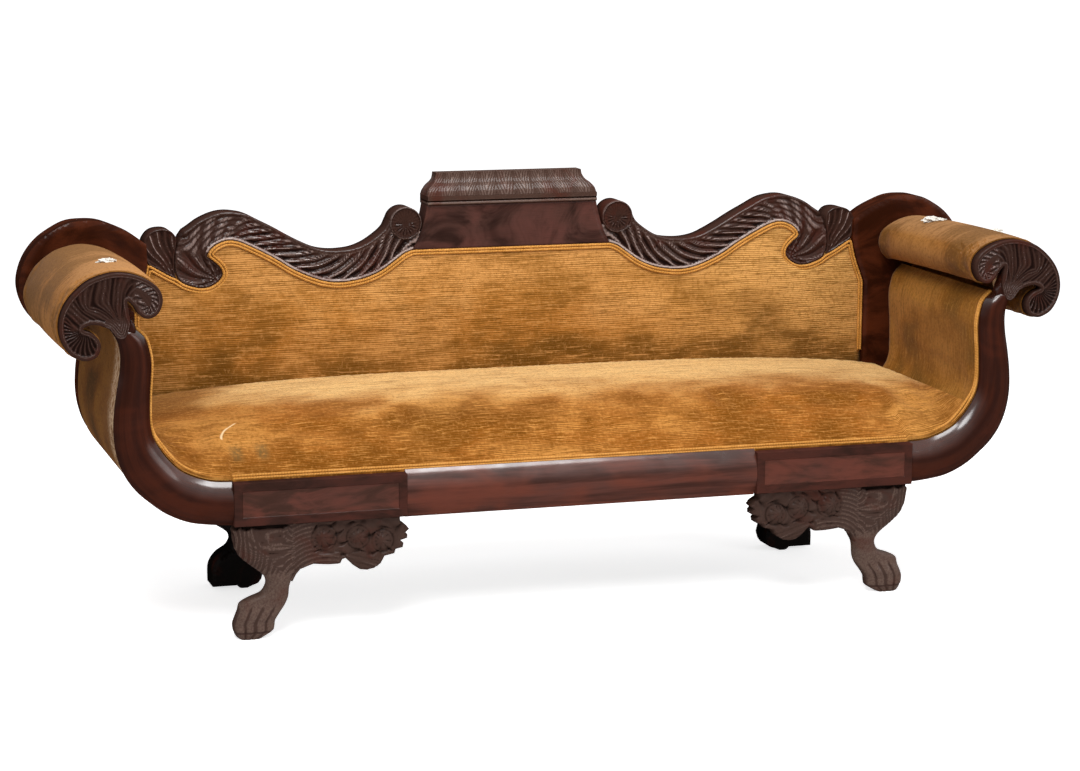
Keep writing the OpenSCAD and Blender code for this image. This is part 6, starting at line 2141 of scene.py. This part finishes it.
@dataclass
class ArmVelvet(Assembly):
    """Velvet of one arm: its roll, its padded inside and its outside.

    Attributes:
        side: The end that it stands at.
        skin: Stand of the velvet outside the scroll.
        fill: Depth of the padding under it.
        sag: Fall of the roll towards its rear.
        pad_t: Thickness of the padded inside.
        front: Depth of the front of the velvet.
        roll_back: Depth of the rear end of the roll.
        pad_back: Depth of the rear end of the padded inside.
    """

    side: Side = Side.RIGHT
    skin: float = 2.5
    fill: float = 18
    sag: float = 9
    pad_t: float = 14
    front: float = 24.3
    roll_back: float = 523.7
    pad_back: float = 506

    @property
    def span(self) -> float:
        """Distance from the back of the facing to the post."""
        return self.plan.post_front - self.plan.facing_t

    def swept(self, path: np.ndarray, ys: np.ndarray, rise: Rise, sag: float = 0) -> np.ndarray:
        """Grid along a path at depths, moved to its left by a rule of the share along and of the depth."""
        normals = left_normals(path)
        share = np.linspace(0, 1, len(path))
        rows = []
        for y in ys:
            t = min(max((y - self.plan.facing_t) / self.span, 0), 1)
            q = path + np.reshape(rise(t, share), (-1, 1)) * normals
            rows.append(stood(q - (0, sag * t * t), y))
        return np.array(rows)

    def depths(self, end: float, count: int) -> np.ndarray:
        """Depths of the rows from the front to an end, finer towards both."""
        even = np.linspace(0, 1, count)
        return blend(self.front, end, blend(even, ease(even), 0.35))

    def between(self, path: np.ndarray, top: np.ndarray, low: np.ndarray) -> Form:
        """The velvet between its two faces along a path."""
        return slab(top, low, lay_of(run(path)[None], top[..., 1]))

    def roll(self) -> Form:
        """The roll, from the inner curl over the top to the outer slit."""
        path = smooth_open(self.plan.scroll(SCROLL[:ROLL_POINTS]), 5)
        ys = self.depths(self.roll_back, 56)

        def crown(t: float, s: np.ndarray) -> np.ndarray:
            """Stand of the velvet."""
            left = (1 - t) * self.span
            swell = 2.5 * math.sin(math.pi * t) * np.sin(np.pi * s) ** 2 - rounded(left, 5) * 0.7
            tuck = rounded(left, 24) * 0.75 * ease((0.62 - s) / 0.3) * np.sin(np.pi * s) ** 0.5
            return self.skin + swell - tuck

        def under(t: float, s: np.ndarray) -> np.ndarray:
            """Stand of the padding's inner face."""
            deep = self.fill * ease((s - 0.1) / 0.08) * ease((0.8 - s) / 0.08)
            return np.minimum(-1.2 - deep, crown(t, s) - 1)

        top = settled(self.swept(path, ys, crown, self.sag), slack=0.01, pressure=0.25, most=2.5)
        return self.between(path, top, self.swept(path, ys, under, self.sag))

    def inside_pad(self) -> Form:
        """The padded inside of the arm."""
        path = self.plan.inner(3)
        ys = self.depths(self.pad_back, 40)

        def rise(t: float, s: np.ndarray) -> np.ndarray:
            """Stand of the velvet past the facing's edge."""
            corner = rounded((1 - t) * self.span - 18, 14) * 12 / 14
            return 0.5 + 1.5 * math.sin(math.pi * t) * np.sin(np.pi * s) ** 2 - corner

        top = settled(self.swept(path, ys, rise), slack=0.01, pressure=0.15, most=1.2)
        return self.between(path, top, self.swept(path, ys, lambda t, s: 0.5 - self.pad_t + 0 * s))

    def outside(self) -> tuple[Form, tuple[float, float]]:
        """The cloth over the outside of the arm, and the size it is cut to."""
        path = self.plan.outer(3)
        ys = self.depths(self.roll_back, 24)
        top, low = (self.swept(path, ys, lambda t, s, d=stand: d + 0 * s) for stand in (3, 5.5))
        return self.between(path, top, low), ((self.roll_back - self.front) * MM, float(run(path)[-1]) * MM)

    def build(self) -> None:
        """Makes and dresses the velvet."""
        side = self.side
        covered = [f"roll_cover_{side}", f"roll_padding_{side}"]
        roll = show(self.roll().on(side), f"arm_roll_{side}", FINISH.roll, covered, angle=60)
        inner = self.inside_pad().on(side)
        pad = show(inner, f"arm_pad_{side}", FINISH.inner, [f"inside_arm_{side}"], angle=60)
        form, size = self.outside()
        cloth = show(form.on(side), f"arm_cloth_{side}", FINISH.outer, [f"outside_arm_{side}"], angle=60)


@dataclass
class Trim(Assembly):
    """Welts of the seat and arms, webbing, dust cloth and tacks.

    Attributes:
        cord_r: Radius of a welt.
        strap_w: Width of a strap of webbing.
        strap_t: Its thickness.
        weave: Depth by which it passes over and under others.
        core_back: Depth of the back of the front rail.
        rear_front: Depth of the front of the rear rail.
        seat_strap: Half the length of the long straps of the seat.
        back_strap: Half the length of the long straps of the back.
        strap_y: Depth of the straps of the back.
        sheet_top: Height of the top of the dust cloth.
        sheet_t: Thickness of the dust cloth.
        sheet_half: Half its length.
        foot_x: Its reach beside the rear feet.
        foot_y: Depth at which it is cut out for them.
        sheet_back: Depth of its rear edge.
        hem: Distance of the tacks from an edge.
    """

    cord_r: float = 3
    strap_w: float = 50
    strap_t: float = 1
    weave: float = 0.7
    core_back: float = 74
    rear_front: float = 492
    seat_strap: float = 718
    back_strap: float = 856
    strap_y: float = 549.6
    sheet_top: float = 243.7
    sheet_t: float = 1.5
    sheet_half: float = 795
    foot_x: float = 596
    foot_y: float = 454.5
    sheet_back: float = 552
    hem: float = 8

    def seat_paths(self) -> list[np.ndarray]:
        """Middle lines of the two cords along the arms' inner edges and the front of the seat."""
        inner = self.plan.inner()[::-1]
        half = resampled(np.vstack([inner, [(0, self.plan.rail_top)]]), 420)
        on_arm = ease((half[:, 1] - 400) / 70)
        out = []
        for seat, arm in (((27.3, 4.6), (27.5, 2.4)), ((31.6, 9.8), (33.6, 2.6))):
            y, rise = (blend(low, high, on_arm) for low, high in zip(seat, arm))
            right = stood(shifted(half, -rise), y)
            out.append(np.vstack([right, flipped(right)[1:]]))
        return out

    def straps(self, spans: Sequence[tuple[tuple, tuple, float]], normal: int) -> Form:
        """Flat straps that pass over and under those that they cross.

        Args:
            spans: Start, end and first direction of weave of each strap.
            normal: Axis along which the straps are thin.

        Returns:
            All the straps.
        """
        thin = np.eye(3)[normal]
        forms = []
        for start, end, phase in spans:
            along = np.array(end) - start
            length = float(np.linalg.norm(along))
            across = np.cross(along / length, thin) * self.strap_w / 2
            t = np.linspace(0, 1, max(12, int(length / 20)))[:, None]
            middle = start + t * along + self.weave * np.sin(np.pi * t * length / 120 + phase) * thin
            grid = np.stack([middle - across, middle, middle + across], axis=1)
            lift = self.strap_t / 2 * thin
            forms.append(slab(grid + lift, grid - lift, grid * MM))
        return forms[0].joined(*forms[1:])

    def seat_straps(self) -> Form:
        """The webbing under the seat."""
        z, deep = self.plan.rail_z, self.rear_front - self.core_back
        rows = (self.core_back + deep * (k + 0.5) / 3 for k in range(3))
        spans = [((-self.seat_strap, y, z), (self.seat_strap, y, z), 0.0) for y in rows]
        for k in range(8):
            x = 165 * (k - 3.5)
            spans.append(((x, self.core_back + 2, z), (x, self.rear_front - 2, z), math.pi * (k % 2)))
        return self.straps(spans, 2)

    def back_straps(self) -> Form:
        """The webbing behind the back."""
        y, spans = self.strap_y, []
        for k, share in enumerate((0.2, 0.45, 0.7)):
            z = 415 + share * 245
            spans.append(((-self.back_strap, y, z), (self.back_strap, y, z), math.pi * (k % 2)))
        for share in (0.13, 0.38, 0.63, 0.86):
            for x in (-share * self.plan.back_half, share * self.plan.back_half):
                spans.append(((x, y, 418), (x, y, 632), 0.0))
        return self.straps(spans, 1)

    def sheet(self) -> tuple[Form, float]:
        """The dust cloth under the seat, and its area."""
        right = np.array([
            (self.sheet_half, self.core_back), (self.sheet_half, self.foot_y), (self.foot_x, self.foot_y),
            (self.foot_x, self.sheet_back),
        ])
        left = flipped(right)
        outline = np.vstack([left[-1:], right, left[:-1]])
        form = board(outline, 0, self.sheet_t, spacing=30, rim=0.4)
        x, y, z = form.points.T
        form.points = np.stack([x, z, self.sheet_top - y], axis=1)
        return form, abs(area_of(outline))

    def tuft(self, centre: tuple[float, float, float], size: tuple[float, float, float]) -> Form:
        """A lump of cotton at a place, with its half sizes."""
        rings, around = 17, 28
        angles = np.linspace(0, math.tau, around, endpoint=False)
        turn, tilt = np.meshgrid(angles, np.linspace(-1.5, 1.5, rings))
        lumps = 1 + 0.22 * np.sin(3 * turn + 5 * tilt) + 0.16 * np.sin(7 * turn - 4 * tilt)
        lumps = lumps + 0.1 * np.cos(11 * turn + 9 * tilt)
        level = np.cos(tilt)
        ball = np.stack([level * np.cos(turn), level * np.sin(turn), np.sin(tilt)], axis=-1)
        points = (centre + ball * lumps[..., None] * size).reshape(-1, 3)
        return Form(points, capped(rings, around), points * MM)

    def tacks(self) -> bpy.types.Mesh:
        """Heads of the tacks along the dust cloth and the cloth behind the back, by a node tree."""
        plan, hem = self.plan, self.hem
        x, foot, y = self.sheet_half - hem, self.foot_x - hem, self.core_back + hem
        turn = self.foot_y - hem - 0.5
        low = np.array([(-x, y), (x, y), (x, turn), (foot, turn), (foot, self.sheet_back - hem)])
        dust = np.vstack([low, flipped(low), low[:1]])
        side = plan.block_reach - hem
        foot_z = plan.rail_z + 12
        right = np.vstack([plan.panel_edge() - (hem, 0), [(side, plan.rail_top - 4), (side, foot_z)]])
        paths = [
            np.column_stack([dust, np.full(len(dust), self.sheet_top - self.sheet_t)]),
            stood(np.vstack([right, flipped(right)]), plan.frame_back + 1.5),
        ]
        places = np.vstack([resampled(path, int(run(path)[-1] / 48)) for path in paths])
        shape = NodeShape("tacks", FINISH.tack, {"Radius": ("NodeSocketFloat", 3.2 * MM)})
        inputs = {"Segments": 8, "Rings": 5, "Radius": shape.given("Radius")}
        head = shape.node("GeometryNodeMeshUVSphere", {}, inputs)
        return shape.built(shape.set_out(shape.given("Geometry"), head), metres(places), [])

    def build(self) -> None:
        """Makes and dresses the trim."""
        seat = cords("seat_cords", self.seat_paths(), self.cord_r, FINISH.gimp)
        show(seat, "seat_welt", FINISH.gimp, ["seat_braid"], angle=80)
        outer = stood(shifted(self.plan.outer(), 3.2), 25.6)
        edge = cords("edge_cords", [outer * (-1, 1, 1), outer], 1.6, FINISH.worn)
        show(edge, "arm_edge_tape", FINISH.worn, ["arm_braid"], angle=80)
        show(self.seat_straps(), "seat_straps", FINISH.webbing, ["seat_webbing"], angle=50)
        show(self.back_straps(), "back_straps", FINISH.webbing, ["back_webbing"], angle=50)
        form, area = self.sheet()
        under = show(form, "dust_sheet", FINISH.dust, ["dust_cloth"], angle=50)
        show(self.tacks(), "tack_rows", FINISH.tack, [], angle=60)
        lumps = [self.tuft(*spot) for spot in TUFTS]
        show(lumps[0].joined(*lumps[1:]), "cotton_tufts", FINISH.cotton, [], angle=50)


def dress_frame(nodes: dict[str, bpy.types.Object]) -> None:
    """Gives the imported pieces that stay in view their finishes.

    Args:
        nodes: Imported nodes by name.
    """
    timber = [
        "front_rail_core", "rear_seat_rail", "seat_braces", "corner_blocks", "back_stiles", "back_uprights",
        "back_lower_rail", "tacking_strips", "crest_dowels", "foot_dowels",
        *(f"{part}_{side}" for part in ("side_rail", "arm_stump", "arm_slats") for side in Side),
    ]
    for name in timber:
        coated(nodes[name].data, FINISH.timber)
    coated(nodes["frame_screws"].data, FINISH.steel)


@dataclass(frozen=True)
class Studio:
    """Pale floor, soft lamps and the camera.

    Attributes:
        lens: Focal length in millimetres on a sensor 36 mm wide.
        eye: Place of the camera.
        yaw: Its turn to the right, in degrees.
        pitch: Its tilt down, in degrees.
        roll: Its roll, in degrees.
    """

    lens: float = 95.43
    eye: tuple[float, float, float] = (-1.858, -5.890, 1.560)
    yaw: float = 17.44
    pitch: float = 10.19
    roll: float = -0.25

    def camera(self) -> None:
        """Adds the camera."""
        yaw, pitch, roll = (math.radians(v) for v in (self.yaw, self.pitch, self.roll))
        forward = Vector((math.sin(yaw) * math.cos(pitch), math.cos(yaw) * math.cos(pitch), -math.sin(pitch)))
        right = Vector((math.cos(yaw), -math.sin(yaw), 0))
        down = forward.cross(right)
        across = right * math.cos(roll) + down * math.sin(roll)
        below = down * math.cos(roll) - right * math.sin(roll)
        data = bpy.data.cameras.new("camera")
        data.lens = self.lens
        data.sensor_width = 36
        data.sensor_fit = "HORIZONTAL"
        data.clip_end = 100
        holder = linked("camera", data)
        turn = Matrix((across, -below, -forward)).transposed()
        holder.matrix_world = Matrix.Translation(self.eye) @ turn.to_4x4()
        bpy.context.scene.camera = holder

    def lamp(self, name: str, place: tuple, aim: tuple, size: float, power: float) -> None:
        """Adds a square lamp that points at a place."""
        data = bpy.data.lights.new(name, "AREA")
        data.shape = "SQUARE"
        data.size = size
        data.energy = power
        holder = linked(name, data)
        holder.location = place
        holder.rotation_euler = (Vector(aim) - Vector(place)).to_track_quat("-Z", "Y").to_euler()

    def seen(self, graph: Graph) -> Wire:
        """1 for what the camera sees itself, in a gloss or through glass."""
        path = graph.node("ShaderNodeLightPath", {}, {}, "Is Camera Ray")
        outputs = path.socket.node.outputs
        gloss, glass = (Wire(graph, outputs[label]) for label in ("Is Glossy Ray", "Is Transmission Ray"))
        return path.most(gloss).most(glass)

    def world(self) -> None:
        """A world that is white where it is seen and lights softly."""
        world = bpy.data.worlds.new("world")
        world.use_nodes = True
        bpy.context.scene.world = world
        graph = Graph(world.node_tree)
        colour = graph.mix(self.seen(graph), (0.42, 0.42, 0.43, 1), (1, 1, 1, 1))
        graph.fill(world.node_tree.nodes["Background"].inputs, {"Color": colour})

    def floor(self) -> None:
        """A pale floor that keeps the shadow."""
        mesh = bpy.data.meshes.new("floor")
        mesh.from_pydata([(-30, -30, 0), (30, -30, 0), (30, 30, 0), (-30, 30, 0)], [], [(0, 1, 2, 3)])
        material = bpy.data.materials.new("floor")
        material.use_nodes = True
        graph = Graph(material.node_tree)
        graph.fill(material.node_tree.nodes["Principled BSDF"].inputs, {
            "Roughness": 0.95, "Specular IOR Level": 0.0, "Base Color": (0.9, 0.9, 0.9, 1),
            "Emission Color": graph.mix(self.seen(graph), (0, 0, 0, 1), (0.72, 0.72, 0.72, 1)),
            "Emission Strength": 1.0,
        })
        mesh.materials.append(material)
        holder = linked("floor", mesh)

    def build(self) -> None:
        """Sets the stage."""
        self.camera()
        self.world()
        self.floor()
        self.lamp("key", (-1.6, -3.4, 3.7), (0, 0, 0.5), 1.5, 105)
        self.lamp("top", (0.1, -0.8, 3.1), (0, 0, 0.4), 1.6, 85)
        self.lamp("fill", (3.6, -2.8, 1.8), (0, 0, 0.4), 2.4, 50)
        bpy.context.scene.view_settings.view_transform = "Standard"


def main() -> None:
    """Builds every sub-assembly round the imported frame."""
    logging.basicConfig(level=logging.INFO, format="%(message)s")
    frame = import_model()
    Studio().build()
    plan = Plan()
    parts: list[Assembly] = [FrontRail(plan), Crest(plan), Legs(plan), Seat(plan), Back(plan), Trim(plan)]
    for side in Side:
        parts += [Arm(plan, side), ArmVelvet(plan, side)]
    for part in parts:
        LOG.info("building %s", type(part).__name__)
        part.build()
    dress_frame(frame["nodes"])


if __name__ == "__main__":
    main()
